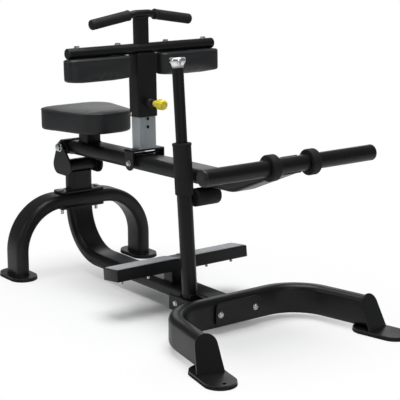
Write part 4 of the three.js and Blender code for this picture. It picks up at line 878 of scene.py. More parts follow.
# Weight bar: a 50 mm tube across the arm's end, powder coated, with a moulded cap in each end.
# Two thick rubber collars stop the plates short of the arm.
BAR_RADIUS = 25
BAR_HALF = 335
BAR_SIDES = 96
BAR_CAP = (25.2, 12)
COLLAR = (40, 30, 78, 3)
at_bar = arm_place @ at(bar_x, 0, bar_z) @ aside
bar_end = BAR_HALF - BAR_CAP[1] - GAP
shape = bmesh.new()
lathe(shape, rod(BAR_RADIUS, -bar_end, bar_end), sides=BAR_SIDES)
fit(shape, "weight_bar_tube", at_bar, "arm", powder_coat, "weight_bar", edge=0.6)
weld_line = []
for x, y in tube_outline:
    lean_in = math.sqrt(max(BAR_RADIUS**2 - x**2, 0))
    start = Vector((bar_x - lean_in * math.cos(climb), y, bar_z - lean_in * math.sin(climb)))
    weld_line.append(arm_place @ (start + Vector((-math.sin(climb), 0, math.cos(climb))) * x))
weld_lines["arm"].append(weld_line)

# Moulded ABS: black, satin, fine spark texture from the mould
black_abs, tree, place = new_finish("black_plastic", "black_abs", IOR=1.54, Specular_IOR_Level=0.35)
spark = add_node(tree, "ShaderNodeTexNoise", {"Vector": place, "Scale": per_mm(0.7), "Detail": 3})
scuff = add_node(tree, "ShaderNodeTexNoise", {"Vector": place, "Scale": per_mm(25), "Detail": 3})
spark_grain = (spark.outputs["Fac"], 0.2, 0.3)
vary(tree, scuff.outputs["Fac"], ("#0e0e0f", "#151517"), (0.38, 0.55), relief=spark_grain)


def dome_cap(radius, length):
    """The profile of an end cap: a straight wall, a soft shoulder, a moulded groove and a domed face."""
    shoulder = length * 0.6
    wall = length - shoulder
    profile = [(0, 0), (radius, 0), (radius, wall)]
    for step in range(1, 7):
        turn = math.radians(13 * step)
        out = radius - shoulder + shoulder * math.cos(turn)
        profile.append((out, wall + shoulder * math.sin(turn) * 0.95))
    face = profile[-1][1]
    groove = [(0.6, 0.0), (0.585, -0.9), (0.55, -0.9), (0.535, 0.1), (0.3, 0.2)]
    return profile + [(radius * out, face + rise) for out, rise in groove] + [(0, face + 0.2)]


def facing_out(side, out):
    """The place of a cap that far out along a bar, with its face away from the middle."""
    return at(0, 0, side * out) @ rotated(0 if side > 0 else math.pi, "X")


radius, wide, out, chamfer = COLLAR
inner = BAR_RADIUS + GAP
collar = [(inner, -wide / 2), (radius - chamfer, -wide / 2), (radius, chamfer - wide / 2)]
collar += [(radius, wide / 2 - chamfer), (radius - chamfer, wide / 2), (inner, wide / 2), (inner, -wide / 2)]
for name, side in SIDES:
    shape = bmesh.new()
    lathe(shape, collar, at(0, 0, side * out), sides=BAR_SIDES)
    node = f"weight_collar_{name}"
    fit(shape, f"{node}_ring", at_bar, "arm", moulded_rubber, node, edge=0.8, sharp=30)
    shape = bmesh.new()
    lathe(shape, dome_cap(*BAR_CAP), facing_out(side, BAR_HALF - BAR_CAP[1]))
    node = f"weight_bar_cap_{name}"
    fit(shape, f"{node}_plug", at_bar, "arm", black_abs, node, edge=0.5)


# Seat: a vinyl cushion that narrows ahead, with a piped top edge, on a board, a plate and a welded post.
# It is moulded foam under stretched vinyl, so the top crowns and the sides swell a little. The vinyl is
# stapled under the board, and four screws hold the board to the plate.
SEAT_AHEAD = 88
SEAT_TOP = 612
SEAT_LONG = 322
SEAT_REAR = (292, 76)
SEAT_FRONT = (232, 94)
SEAT_THICK = 76
SEAT_SEAM = 71
SEAT_BOARD = (26, 12)
SEAT_PLATE = (124, 26, 5)
SEAT_POST = (60, 6, 84)
SEAT_SCREWS = (42, 6.5)
SEAT_SLIM = 3
SEAT_PIPING = 2.2
VOXEL = 5
HELD = 3
CLOTH_FRAMES = 20

seat_x, seat_top = in_arm(SEAT_AHEAD, SEAT_TOP)
seat_foot = seat_top - SEAT_THICK
post_side, post_corner, post_ahead = SEAT_POST
post_x = (post_ahead + PIVOT_BEHIND) / math.cos(ARM_RISE)
arm_top = TUBE_DEEP / 2
side, corner, thick = SEAT_PLATE
plate_foot_z = seat_foot - GAP - thick
post_outline = rounded(post_side, post_side, post_corner)
shape = bmesh.new()
slab(shape, post_outline, plate_foot_z - arm_top + SINK, at(post_x, 0, arm_top))
fit(shape, "seat_post_tube", arm_place, "arm", powder_coat, "seat_post")
shape = bmesh.new()
slab(shape, rounded(side, side, corner), thick, at(seat_x, 0, plate_foot_z))
fit(shape, "seat_plate", arm_place, "arm", powder_coat, edge=0.8)
weld_round("arm", arm_place @ at(post_x, 0, arm_top), post_outline)


def seat_outline(inset):
    """The seat's plan: it narrows ahead, between a pair of corner rounds at each end."""
    rear_wide, rear_round = SEAT_REAR
    front_wide, front_round = SEAT_FRONT
    rear_x, front_x = rear_round - SEAT_LONG / 2, SEAT_LONG / 2 - front_round
    rear_y, front_y = rear_wide / 2 - rear_round, front_wide / 2 - front_round
    return belt_outline(
        [
            (rear_x, -rear_y, rear_round - inset),
            (front_x, -front_y, front_round - inset),
            (front_x, front_y, front_round - inset),
            (rear_x, rear_y, rear_round - inset),
        ]
    )


board_inset, thick = SEAT_BOARD
shape = bmesh.new()
slab(shape, seat_outline(board_inset), thick, at(seat_x, 0, seat_foot))
fit(shape, "seat_board_cut", arm_place, "arm", black_abs, "seat_board", edge=0.8)
apart, head = SEAT_SCREWS
screw_spots = [(seat_x + ahead * apart, side * apart, plate_foot_z) for ahead in (-1, 1) for side in (-1, 1)]
board_screws = [(spot, (0, 0, -1), head) for spot in screw_spots]
seat_heads("seat_screws", "hex", "arm", arm_place, board_screws, seed=9)

# Upholstery vinyl: calendered PVC on a knit, with a fine leather grain and a low sheen
vinyl, tree, place = new_finish("upholstery", "upholstery_vinyl", IOR=1.5, Specular_IOR_Level=0.4)
pebble_links = {"Vector": place, "Scale": per_mm(1.6)}
pebble = add_node(tree, "ShaderNodeTexVoronoi", pebble_links, feature="DISTANCE_TO_EDGE")
crease = add_node(tree, "ShaderNodeTexNoise", {"Vector": place, "Scale": per_mm(5), "Detail": 5})
wear = add_node(tree, "ShaderNodeTexNoise", {"Vector": place, "Scale": per_mm(90), "Detail": 3})
grain_links = {0: pebble.outputs["Distance"], 1: crease.outputs["Fac"]}
grain = add_node(tree, "ShaderNodeMath", grain_links, operation="ADD")
leather_grain = (grain.outputs[0], 0.3, 0.4)
vary(tree, wear.outputs["Fac"], ("#191a1b", "#212223"), (0.38, 0.52), relief=leather_grain)

# A bead follows a line: round in section, and rippled along its length where it is a weld
bead_inputs = dict.fromkeys(("Radius", "Ripple", "Pitch", "Step"), "Float")
bead_tree, given = new_tree("bead_on_a_line", **bead_inputs, Finish="Material")
line = add_node(bead_tree, "GeometryNodeMeshToCurve", {"Mesh": given["Geometry"]})
finer_links = {"Curve": line.outputs[0], "Length": given["Step"]}
finer = add_node(bead_tree, "GeometryNodeResampleCurve", finer_links, mode="LENGTH")
along = add_node(bead_tree, "GeometryNodeSplineParameter")
wave_links = {0: along.outputs["Length"], 1: given["Pitch"]}
waves = add_node(bead_tree, "ShaderNodeMath", wave_links, operation="DIVIDE")
turns = add_node(bead_tree, "ShaderNodeMath", {0: waves.outputs[0], 1: math.tau}, operation="MULTIPLY")
swell = add_node(bead_tree, "ShaderNodeMath", {0: turns.outputs[0]}, operation="SINE")
thicker_links = {0: swell.outputs[0], 1: given["Ripple"], 2: 1.0}
thicker = add_node(bead_tree, "ShaderNodeMath", thicker_links, operation="MULTIPLY_ADD").outputs[0]
sized = add_node(bead_tree, "GeometryNodeSetCurveRadius", {"Curve": finer.outputs[0], "Radius": thicker})
round_links = {"Resolution": 8, "Radius": given["Radius"]}
section = add_node(bead_tree, "GeometryNodeCurvePrimitiveCircle", round_links, mode="RADIUS")
bead_links = {"Curve": sized.outputs[0], "Profile Curve": section.outputs[0], "Fill Caps": True}
bead = add_node(bead_tree, "GeometryNodeCurveToMesh", bead_links)
if "Scale" in bead.inputs:
    bead_tree.links.new(thicker, bead.inputs["Scale"])
end_tree(bead_tree, bead.outputs[0], given["Finish"])


def beads(name, lines, radius, finish, ripple=0.0, pitch=2.4, step=2.0):
    """Lays a closed bead along each line of points, in metres."""
    shape = bmesh.new()
    for line in lines:
        spots = [shape.verts.new(spot) for spot in line]
        for spot, following in zip(spots, spots[1:] + spots[:1]):
            shape.edges.new((spot, following))
    sizes = {"Radius": radius * MM, "Ripple": ripple, "Pitch": pitch * MM, "Step": step * MM}
    return grow(name, mesh_of(shape, name), bead_tree, finish, **sizes)


def stuffed(name, outline, thickness, where, seams, edge, most, pressure=4.0, foot=0.0):
    """A foam block under stretched vinyl: soft edged, then swollen by cloth pressure between its seams.

    No point moves by more than most, and foot is the round of its lowest edges.
    """
    shape = bmesh.new()
    slab(shape, outline, thickness)
    if foot:
        lowest = [line for line in shape.edges if max(vertex.co.z for vertex in line.verts) == 0]
        bmesh.ops.bevel(shape, geom=lowest, offset=foot, segments=6, profile=0.36, affect="EDGES")
    shape.transform(where)
    bmesh.ops.recalc_face_normals(shape, faces=shape.faces)
    block = add_object(name, mesh_of(shape, name))
    soft = block.modifiers.new("soft edge", "BEVEL")
    soft.width = edge * MM
    soft.segments = 4
    soft.limit_method = "ANGLE"
    soft.angle_limit = math.radians(50)
    even = block.modifiers.new("even mesh", "REMESH")
    even.mode = "VOXEL"
    even.voxel_size = VOXEL * MM
    even.use_smooth_shade = True
    calm = block.modifiers.new("calm", "SMOOTH")
    calm.factor = 0.5
    calm.iterations = 3
    made_plain(block)
    rest = [vertex.co.copy() for vertex in block.data.vertices]
    heights = [(where.inverted() @ spot).z for spot in rest]
    held = block.vertex_groups.new(name="held")
    in_seam = [i for i, z in enumerate(heights) if any(abs(z - seam) < HELD for seam in seams)]
    held.add(in_seam, 1.0, "REPLACE")
    cloth = block.modifiers.new("stuffing", "CLOTH")
    cloth.settings.use_pressure = True
    cloth.settings.uniform_pressure_force = pressure
    cloth.settings.effector_weights.gravity = 0
    cloth.settings.vertex_group_mass = "held"
    cloth.settings.quality = 5
    for moment in range(1, CLOTH_FRAMES + 1):
        bpy.context.scene.frame_set(moment)
    seen = block.evaluated_get(bpy.context.evaluated_depsgraph_get())
    swollen = [vertex.co.copy() for vertex in seen.data.vertices]
    block.modifiers.clear()
    bpy.context.scene.frame_set(1)
    for vertex, start, end in zip(block.data.vertices, rest, swollen):
        move = end - start
        if move.length > most * MM:
            move = move.normalized() * most * MM
        vertex.co = start + move
    finer = block.modifiers.new("finer", "SUBSURF")
    finer.levels = finer.render_levels = 1
    return made_plain(block)


def seam_line(piece, where, height):
    """The line where a level plane meets a cushion's side, in order."""
    shape = bmesh.new()
    shape.from_mesh(piece.data)
    shape.transform(where.inverted())
    whole = shape.verts[:] + shape.edges[:] + shape.faces[:]
    met = bmesh.ops.bisect_plane(shape, geom=whole, plane_co=(0, 0, height), plane_no=(0, 0, 1))["geom_cut"]
    spots = [where @ item.co for item in met if isinstance(item, bmesh.types.BMVert)]
    shape.free()
    middle = sum(spots, Vector()) / len(spots)
    back = where.to_3x3().inverted()

    def bearing(spot):
        flat = back @ (spot - middle)
        return math.atan2(flat.y, flat.x)

    return sorted(spots, key=bearing)


seat_place = arm_place @ at(seat_x, 0, seat_foot)
seat_seams = (SEAT_SEAM, 2)
foam = seat_outline(SEAT_SLIM)
cushion = stuffed("seat_cushion", foam, SEAT_THICK, seat_place, seat_seams, edge=5, most=6, pressure=3.0)
dress(cushion, "arm", vinyl, "seat_pad", sharp=60)
seat_piping = beads("seat_piping", [seam_line(cushion, seat_place, SEAT_SEAM)], SEAT_PIPING, vinyl)
dress(seat_piping, "arm", vinyl, sharp=60)


# Knee post's foot: a saddle of bent plate bolted across the arm, and a perforated inner tube on it.
# The tube is painted silver grey, and its front wall has a row of 12 mm holes for the pull pin.
SADDLE_AHEAD = 436
SADDLE_HALF = 66
SADDLE_PLATE = 6
SADDLE_LONG = 52
SADDLE_TOP = 46
SADDLE_FOOT = 26
SADDLE_HEAD = 9.5
SADDLE_NUT = 10
BUMPER = (4.5, 62, 8)
INNER = (50, 70, 6, 280)
INNER_WALL = 3
PIN_HOLE = 6
PIN_HOLES = 6
PIN_PITCH = 28
PIN_ABOVE = 206

saddle_x = (SADDLE_AHEAD + PIVOT_BEHIND) / math.cos(ARM_RISE)
knee_place = arm_place @ at(saddle_x, 0, 0)
half = SADDLE_LONG / 2
saddle_outline = [(half, SADDLE_TOP), (-half, SADDLE_TOP)]
for i in range(25):
    turn = math.pi * (1 + i / 24)
    saddle_outline.append((SADDLE_FOOT * math.cos(turn), SADDLE_FOOT * math.sin(turn)))
shape = bmesh.new()
for face in (SADDLE_HALF, SADDLE_PLATE - SADDLE_HALF):
    slab(shape, saddle_outline, SADDLE_PLATE, upright_from(face))
top_place = at(0, 0, SADDLE_TOP - SADDLE_PLATE)
slab(shape, rounded(SADDLE_LONG, 2 * SADDLE_HALF, 2), SADDLE_PLATE, top_place)
fit(shape, "knee_saddle_plates", knee_place, "arm", powder_coat, "knee_saddle", edge=1.2)
shape = bmesh.new()
radius, half_long, ahead = BUMPER
lathe(shape, rod(radius, -half_long, half_long), at(ahead, 0, arm_top + GAP + radius) @ aside, sides=24)
fit(shape, "saddle_bumper", knee_place, "arm", powder_coat)
saddle_head = [((0, -SADDLE_HALF, 0), (0, -1, 0), SADDLE_HEAD)]
saddle_nut = [((0, SADDLE_HALF, 0), (0, 1, 0), SADDLE_NUT)]
seat_heads("saddle_bolt_head", "hex", "arm", knee_place, saddle_head, "saddle_bolt", seed=3)
seat_heads("saddle_nut", "nut", "arm", knee_place, saddle_nut, seed=5)

# Silver grey paint: stoved enamel with fine aluminium flake, rubbed a little along the slide
enamel_values = {"Metallic": 0.55, "Coat_Weight": 0.3, "Coat_Roughness": 0.25}
silver_paint, tree, place = new_finish("grey_paint", "silver_grey_enamel", **enamel_values)
flake = add_node(tree, "ShaderNodeTexNoise", {"Vector": place, "Scale": per_mm(0.5), "Detail": 2})
rub_space = add_node(tree, "ShaderNodeMapping", {"Vector": place, "Scale": (1, 1, 0.04)})
rub_links = {"Vector": rub_space.outputs[0], "Scale": per_mm(3), "Detail": 3}
rub = add_node(tree, "ShaderNodeTexNoise", rub_links)
vary(tree, rub.outputs["Fac"], ("#8b9296", "#b3b9bc"), (0.34, 0.48), gloss=flake.outputs["Fac"])


def tube_wall(shape, outer, inner, low, high):
    """A tube that stands between two heights, open at both ends."""
    ends = [(Vector((0, 0, low)), UP), (Vector((0, 0, high)), UP)]
    outer_rings = sweep(shape, outer, ends, SIDEWAYS, capped=False)
    inner_rings = sweep(shape, inner, ends, SIDEWAYS, capped=False)
    for outer_ring, inner_ring in zip(outer_rings, inner_rings):
        for i in range(len(outer)):
            j = (i + 1) % len(outer)
            shape.faces.new((outer_ring[i], outer_ring[j], inner_ring[j], inner_ring[i]))


deep, wide, corner, top = INNER
bore = rounded(deep - 2 * INNER_WALL, wide - 2 * INNER_WALL, corner - INNER_WALL)
shape = bmesh.new()
tube_wall(shape, rounded(deep, wide, corner), bore, SADDLE_TOP + GAP, top)
bmesh.ops.recalc_face_normals(shape, faces=shape.faces)
inner_tube = add_object("knee_inner_tube_drilled", mesh_of(shape, "perforated_tube"))
drills = bmesh.new()
for i in range(PIN_HOLES):
    height = PIN_ABOVE + PIN_PITCH * (i - PIN_HOLES // 2)
    lathe(drills, rod(PIN_HOLE, -PIN_HOLE - 2, PIN_HOLE + 2), at(deep / 2, 0, height) @ flat_ahead, sides=32)
bmesh.ops.recalc_face_normals(drills, faces=drills.faces)
drill = add_object("drills", mesh_of(drills, "drills"))
holes = inner_tube.modifiers.new("pin holes", "BOOLEAN")
holes.object = drill
holes.solver = "EXACT"
made_plain(inner_tube)
bpy.data.objects.remove(drill)
inner_tube.data.transform(knee_place)
dress(inner_tube, "arm", silver_paint, "knee_inner_tube", edge=0.5)


# Knee carriage: a sleeve that slides on the inner tube, with a slimmer post on its lid and a cross
# tube through that post. All is welded steel tube, powder coated, and caps are pressed in its ends.
SLEEVE = (60, 80, 8)
SLEEVE_WALL = 4
SLEEVE_FOOT = 157
KNEE_TUBE_RADIUS = 18
KNEE_TUBE_HALF = 291
KNEE_TUBE_HEIGHT = 388
KNEE_CAP = 6
UPPER_POST = (34, 45, 4)
UPPER_POST_BACK = 5
HANDLE_RADIUS = 12.5
HANDLE_MID = 505
GUIDE_SCREW = (-17, 9, 5)

sleeve_top = KNEE_TUBE_HEIGHT - KNEE_TUBE_RADIUS
post_top = HANDLE_MID - HANDLE_RADIUS - GAP
deep, wide, corner = SLEEVE
outer = rounded(deep, wide, corner)
bore = rounded(deep - 2 * SLEEVE_WALL, wide - 2 * SLEEVE_WALL, corner - SLEEVE_WALL / 2)
lid_foot = sleeve_top - SLEEVE_WALL
shape = bmesh.new()
tube_wall(shape, outer, bore, SLEEVE_FOOT, lid_foot)
slab(shape, outer, SLEEVE_WALL + 2 * SINK, at(0, 0, lid_foot))
fit(shape, "knee_sleeve_tube", knee_place, "knee_carriage", powder_coat, "knee_sleeve", edge=1.0)
shape = bmesh.new()
upper_outline = rounded(*UPPER_POST)
upper_place = at(-UPPER_POST_BACK, 0, sleeve_top)
slab(shape, upper_outline, post_top - sleeve_top, upper_place)
fit(shape, "upper_post_tube", knee_place, "knee_carriage", powder_coat, edge=1.0)
at_knee_tube = knee_place @ at(0, 0, KNEE_TUBE_HEIGHT) @ aside
shape = bmesh.new()
lathe(shape, rod(KNEE_TUBE_RADIUS, -KNEE_TUBE_HALF, KNEE_TUBE_HALF), sides=72)
fit(shape, "knee_cross_tube", at_knee_tube, "knee_carriage", powder_coat, edge=0.5)
weld_round("knee_carriage", knee_place @ upper_place @ at(0, 0, 2 * SINK), upper_outline)
for name, side in SIDES:
    shape = bmesh.new()
    lathe(shape, dome_cap(KNEE_TUBE_RADIUS, KNEE_CAP), facing_out(side, KNEE_TUBE_HALF + GAP))
    node = f"knee_tube_cap_{name}"
    fit(shape, f"{node}_plug", at_knee_tube, "knee_carriage", black_abs, node, edge=0.4)
ahead, above, head = GUIDE_SCREW
guide_screws = [((ahead, side * wide / 2, SLEEVE_FOOT + above), (0, side, 0), head) for side in (-1, 1)]
seat_heads("sleeve_guide_screws", "button", "knee_carriage", knee_place, guide_screws, seed=11)


# Knee pads: two vinyl covered foam blocks hung under the cross tube, piped round their top edge and
# well rounded below. Long screws pass down through the tube into each pad's board.
PAD_INSIDE = 52
PAD_OUTSIDE = 313
PAD_DEEP = 68
PAD_AHEAD = 7
PAD_THICK = 74
PAD_CORNER = 29
PAD_SCREWS = (98, 258)
PAD_HEAD = 9.5
PAD_SEAM = 68
PAD_FOOT = 26
PAD_SLIM = 4
PAD_PIPING = 1.6

pad_top = sleeve_top - GAP
tube_top = KNEE_TUBE_HEIGHT + KNEE_TUBE_RADIUS
pad_long = PAD_OUTSIDE - PAD_INSIDE
pad_corner = PAD_CORNER - PAD_SLIM / 2
foam = rounded(PAD_DEEP - 2 * PAD_SLIM, pad_long - 2 * PAD_SLIM, pad_corner, 12)
pad_seams = (PAD_SEAM, PAD_THICK - 1)
pad_screws = []
for name, side in SIDES:
    middle = side * (PAD_INSIDE + PAD_OUTSIDE) / 2
    pad_place = knee_place @ at(PAD_AHEAD, middle, pad_top - PAD_THICK)
    node = f"knee_pad_{name}"
    pad = stuffed(f"{node}_cushion", foam, PAD_THICK, pad_place, pad_seams, edge=6, most=5, foot=PAD_FOOT)
    dress(pad, "knee_carriage", vinyl, node, sharp=60)
    piping = beads(f"{node}_piping", [seam_line(pad, pad_place, PAD_SEAM)], PAD_PIPING, vinyl)
    dress(piping, "knee_carriage", vinyl, sharp=60)
    pad_screws += [((0, side * out, tube_top), (0, 0, 1), PAD_HEAD) for out in PAD_SCREWS]
pad_bolts = [f"knee_pad_bolt_{i}" for i in (1, 2, 3, 4)]
seat_heads("knee_pad_screws", "hex", "knee_carriage", knee_place, pad_screws, *pad_bolts, seed=13)


# Hand bar: one 25 mm rod bent to a shallow V on the post, with a moulded grip on each end.
# The grips are finely ribbed rubber with a round end and a small rolled lip at the other.
HANDLE_HALF = 203
HANDLE_END = 476
HANDLE_MID_HALF = 26
HANDLE_BEND = 40
GRIP_RADIUS = 17.6
GRIP_LONG = 158
GRIP_OVER = 3
GRIP_END = 10
GRIP_RIBS = 26
GRIP_RIB_PITCH = 5
GRIP_RIB_START = 4
GRIP_GROOVE = ((0, 0), (0.5, 0.6), (0.5, 1.8), (0, 2.4))
GRIP_LIP = 0.7
HANDLE_WELD = (20, 45, 4)

handle_corners = [
    (0, -HANDLE_HALF, HANDLE_END),
    (0, -HANDLE_MID_HALF, HANDLE_MID),
    (0, HANDLE_MID_HALF, HANDLE_MID),
    (0, HANDLE_HALF, HANDLE_END),
]
shape = bmesh.new()
sweep(shape, circle(HANDLE_RADIUS, sides=36), bent(handle_corners, HANDLE_BEND, steps=8), FORWARD)
fit(shape, "hand_bar_rod", knee_place, "knee_carriage", powder_coat, "hand_bar")
weld_round("knee_carriage", knee_place @ at(0, 0, post_top), rounded(*HANDLE_WELD))
droop = math.atan2(HANDLE_MID - HANDLE_END, HANDLE_HALF - HANDLE_MID_HALF)
grip_profile = [(0, GRIP_OVER)]
for step in range(1, 9):
    turn = math.radians(11.25 * step)
    grip_profile.append((GRIP_RADIUS * math.sin(turn), GRIP_OVER - GRIP_END * (1 - math.cos(turn))))
for i in range(GRIP_RIBS):
    back = GRIP_OVER - GRIP_END - GRIP_RIB_START - i * GRIP_RIB_PITCH
    grip_profile += [(GRIP_RADIUS - deep, back - along) for deep, along in GRIP_GROOVE]
back = GRIP_OVER - GRIP_LONG
lip = GRIP_RADIUS + GRIP_LIP
grip_profile += [(GRIP_RADIUS, back + 7), (lip, back + 6), (lip, back + 1.5)]
grip_profile += [(GRIP_RADIUS - 0.6, back), (HANDLE_RADIUS + GAP, back)]
for name, side in SIDES:
    shape = bmesh.new()
    lathe(shape, grip_profile)
    grip_place = at(0, side * HANDLE_HALF, HANDLE_END) @ rotated(-side * (QUARTER + droop), "X")
    node = f"hand_grip_{name}"
    fit(shape, f"{node}_sleeve", knee_place @ grip_place, "knee_carriage", moulded_rubber, node, sharp=50)


# Pull pin: a sprung plunger in a boss on the sleeve's front, drawn out by a yellow knob.
# The knob is injection moulded, with a fluted cap and a shallow recess in its end.
BOSS = (15, 12, 40)
PLUNGER = 4.6
KNOB_NECK = (9, 21)
KNOB = (18.5, 34)
PLUNGER_IN_KNOB = 8
FLUTES = 10
FLUTE_DEPTH = 1.1

# Moulded nylon: clear yellow, a satin sheen with faint flow marks and a fine spark texture
yellow_plastic, tree, place = new_finish("yellow_plastic", "yellow_nylon", IOR=1.53, Subsurface_Weight=0.04)
flow = add_node(tree, "ShaderNodeTexNoise", {"Vector": place, "Scale": per_mm(14), "Detail": 3})
spark = add_node(tree, "ShaderNodeTexNoise", {"Vector": place, "Scale": per_mm(0.6), "Detail": 2})
spark_grain = (spark.outputs["Fac"], 0.15, 0.2)
vary(tree, flow.outputs["Fac"], ("#d9c52a", "#ecd93c"), (0.32, 0.46), relief=spark_grain)

sleeve_face = SLEEVE[0] / 2
at_pin = knee_place @ at(sleeve_face + GAP, 0, PIN_ABOVE) @ flat_ahead
boss_wide, boss_slim, boss_long = BOSS
boss = [(0, 0), (boss_wide, 0), (boss_wide, boss_long * 0.45)]
boss += [(boss_slim, boss_long * 0.55), (boss_slim, boss_long), (0, boss_long)]
shape = bmesh.new()
lathe(shape, boss)
fit(shape, "pin_boss_turned", at_pin, "knee_carriage", black_abs, "pin_boss", edge=1.0, sharp=25)
inner_face = INNER[0] / 2 - sleeve_face
knob_back = boss_long + GAP
shape = bmesh.new()
lathe(shape, rod(PLUNGER, inner_face, knob_back + PLUNGER_IN_KNOB), sides=32)
fit(shape, "pin_plunger_rod", at_pin, "pull_pin", plated_steel, "pin_plunger", edge=0.4)
neck, neck_long = KNOB_NECK
head, head_long = KNOB


def fluted(radius):
    """A radius with shallow flutes for the fingers."""
    return lambda turn: radius - FLUTE_DEPTH * (0.5 - 0.5 * math.cos(FLUTES * turn)) ** 3


knob = [(0, 0), (neck + 1.5, 0), (neck + 1.5, 3), (neck, 4.5)]
knob += [(neck, neck_long - 3), (neck + 2, neck_long - 0.8)]
grasp = [(0.80, 0), (0.9, 0.03), (0.97, 0.09), (1.0, 0.18)]
grasp += [(1.0, 0.58), (0.97, 0.7), (0.9, 0.82), (0.8, 0.91)]
knob += [(fluted(head * out), neck_long + head_long * along) for out, along in grasp]
recess = ((0.66, 0.965), (0.55, 0.97), (0.5, 0.93), (0.3, 0.92), (0, 0.92))
knob += [(head * out, neck_long + head_long * along) for out, along in recess]
shape = bmesh.new()
lathe(shape, knob, at(0, 0, knob_back), sides=120)
fit(shape, "pin_knob_moulded", at_pin, "pull_pin", yellow_plastic, "pin_knob", sharp=50)


# Lockout lever: a steel tube on a lug, a thick rubber sleeve to grip, a slimmer tube above it
# and a chromed cap. A rubber roller on a through shaft holds the arm up at its wear pad.
LEVER_FOOT_AHEAD = 34
LEVER_FOOT = LEVER_PIVOT + LEVER_FOOT_AHEAD
LEVER_LEAN = math.radians(4.9)
LOWER_TUBE = (25, 12)
UPPER_TUBE = (18.5, 394)
LEVER_SLEEVE = (30, 31, 167, 12)
LEVER_CAP = (26.5, 32)
LUG = (20, 34, 30)
LUG_CLEAR = 2
LUG_WELD = -1.6  # half let in, so that it clears the bracket when the lever swings
ROLLER_SHAFT = (8, 13)
ROLLER = (30, 54, 46)
ROLLER_HEAD = 11
WEAR_PAD = (40, 54, 12, 13)
WEAR_PAD_CORNER = 5
TUBE_OVER_ROLLER = 27

lower, lower_start = LOWER_TUBE
upper, upper_long = UPPER_TUBE
sleeve_out, sleeve_lip, sleeve_long, sleeve_over = LEVER_SLEEVE
roller_radius, roller_right, roller_left = ROLLER
pad_long, pad_wide, pad_thick, pad_aside = WEAR_PAD
rise_turn = (PIVOT_HEIGHT - LEVER_HEIGHT) * math.cos(ARM_RISE)
rise_turn += (LEVER_FOOT + PIVOT_BEHIND) * math.sin(ARM_RISE)
roller_below = arm_top + pad_thick + 2 * GAP + roller_radius
roller_up = (rise_turn - roller_below) / math.cos(ARM_RISE - LEVER_LEAN)
lower_end = roller_up + TUBE_OVER_ROLLER
upper_end = lower_end + upper_long
sleeve_start = lower_end - sleeve_over
sleeve_end = sleeve_start + sleeve_long
lean = rotated(-LEVER_LEAN, "Y")
lever_place = ground @ at(LEVER_FOOT, -LEVER_ASIDE, LEVER_HEIGHT) @ lean
shape = bmesh.new()
lathe(shape, rod(lower, lower_start, lower_end), sides=72)
lathe(shape, rod(upper, lower_end - SINK, upper_end), sides=64)
fit(shape, "lever_tubes", lever_place, "lever", powder_coat, "lever_tube", edge=0.8)
lug_x = (LEVER_PIVOT - LEVER_FOOT) * math.cos(LEVER_LEAN)
lug_z = (LEVER_FOOT - LEVER_PIVOT) * math.sin(LEVER_LEAN)
barrel, lug_wide, lug_high = LUG
lug_half = CLEVIS_INSIDE - LUG_CLEAR
shape = bmesh.new()
lathe(shape, rod(barrel, -lug_half, lug_half), at(lug_x, 0, lug_z) @ aside)
slab(shape, rounded(lower - lug_x, lug_wide, 2), lug_high, at((lower + lug_x) / 2, 0, lug_z))
fit(shape, "lever_lug", lever_place, "lever", powder_coat, edge=1.2)
weld_round("lever", lever_place @ at(0, 0, lug_z + lug_high), circle(lower), proud=LUG_WELD)

lip = sleeve_lip + 0.6
sleeve_profile = [(lower + GAP, sleeve_start), (sleeve_out - 2, sleeve_start), (sleeve_out, sleeve_start + 2)]
sleeve_profile += [(sleeve_out, sleeve_end - 9), (lip, sleeve_end - 7.5), (lip, sleeve_end - 3)]
sleeve_profile += [(sleeve_lip - 1, sleeve_end), (upper + 3, sleeve_end), (upper + GAP, sleeve_end - 2)]
shape = bmesh.new()
lathe(shape, sleeve_profile, sides=80)
fit(shape, "lever_rubber_sleeve", lever_place, "lever", moulded_rubber, "lever_grip", edge=0.6, sharp=30)

# Chromium plate: mirror bright over nickel, with hair scratches from hands
chromed, tree, place = new_finish("chrome", "chromium_plate", Metallic=1.0)
hair_space = add_node(tree, "ShaderNodeMapping", {"Vector": place, "Scale": (1, 1, 12)})
hair_links = {"Vector": hair_space.outputs[0], "Scale": per_mm(9), "Detail": 5}
hair = add_node(tree, "ShaderNodeTexNoise", hair_links)
vary(tree, hair.outputs["Fac"], ("#d5d7d9", "#eeeff0"), (0.05, 0.14))
flare, long = LEVER_CAP
cap_outline = [(0.73, 0.0), (0.73, 0.13), (0.77, 0.28), (0.86, 0.42)]
cap_outline += [(0.92, 0.48), (0.92, 0.52), (0.98, 0.55), (1.01, 0.64), (1.01, 0.8)]
cap_outline += [(0.98, 0.9), (0.89, 0.97), (0.74, 1.0), (0.36, 1.01)]
shape = bmesh.new()
cap = [(flare * out, upper_end + GAP + long * along) for out, along in cap_outline]
lathe(shape, [(0, cap[0][1])] + cap + [(0, cap[-1][1])], sides=80)
fit(shape, "lever_chrome_cap", lever_place, "lever", chromed, "lever_cap", edge=0.6, sharp=50)

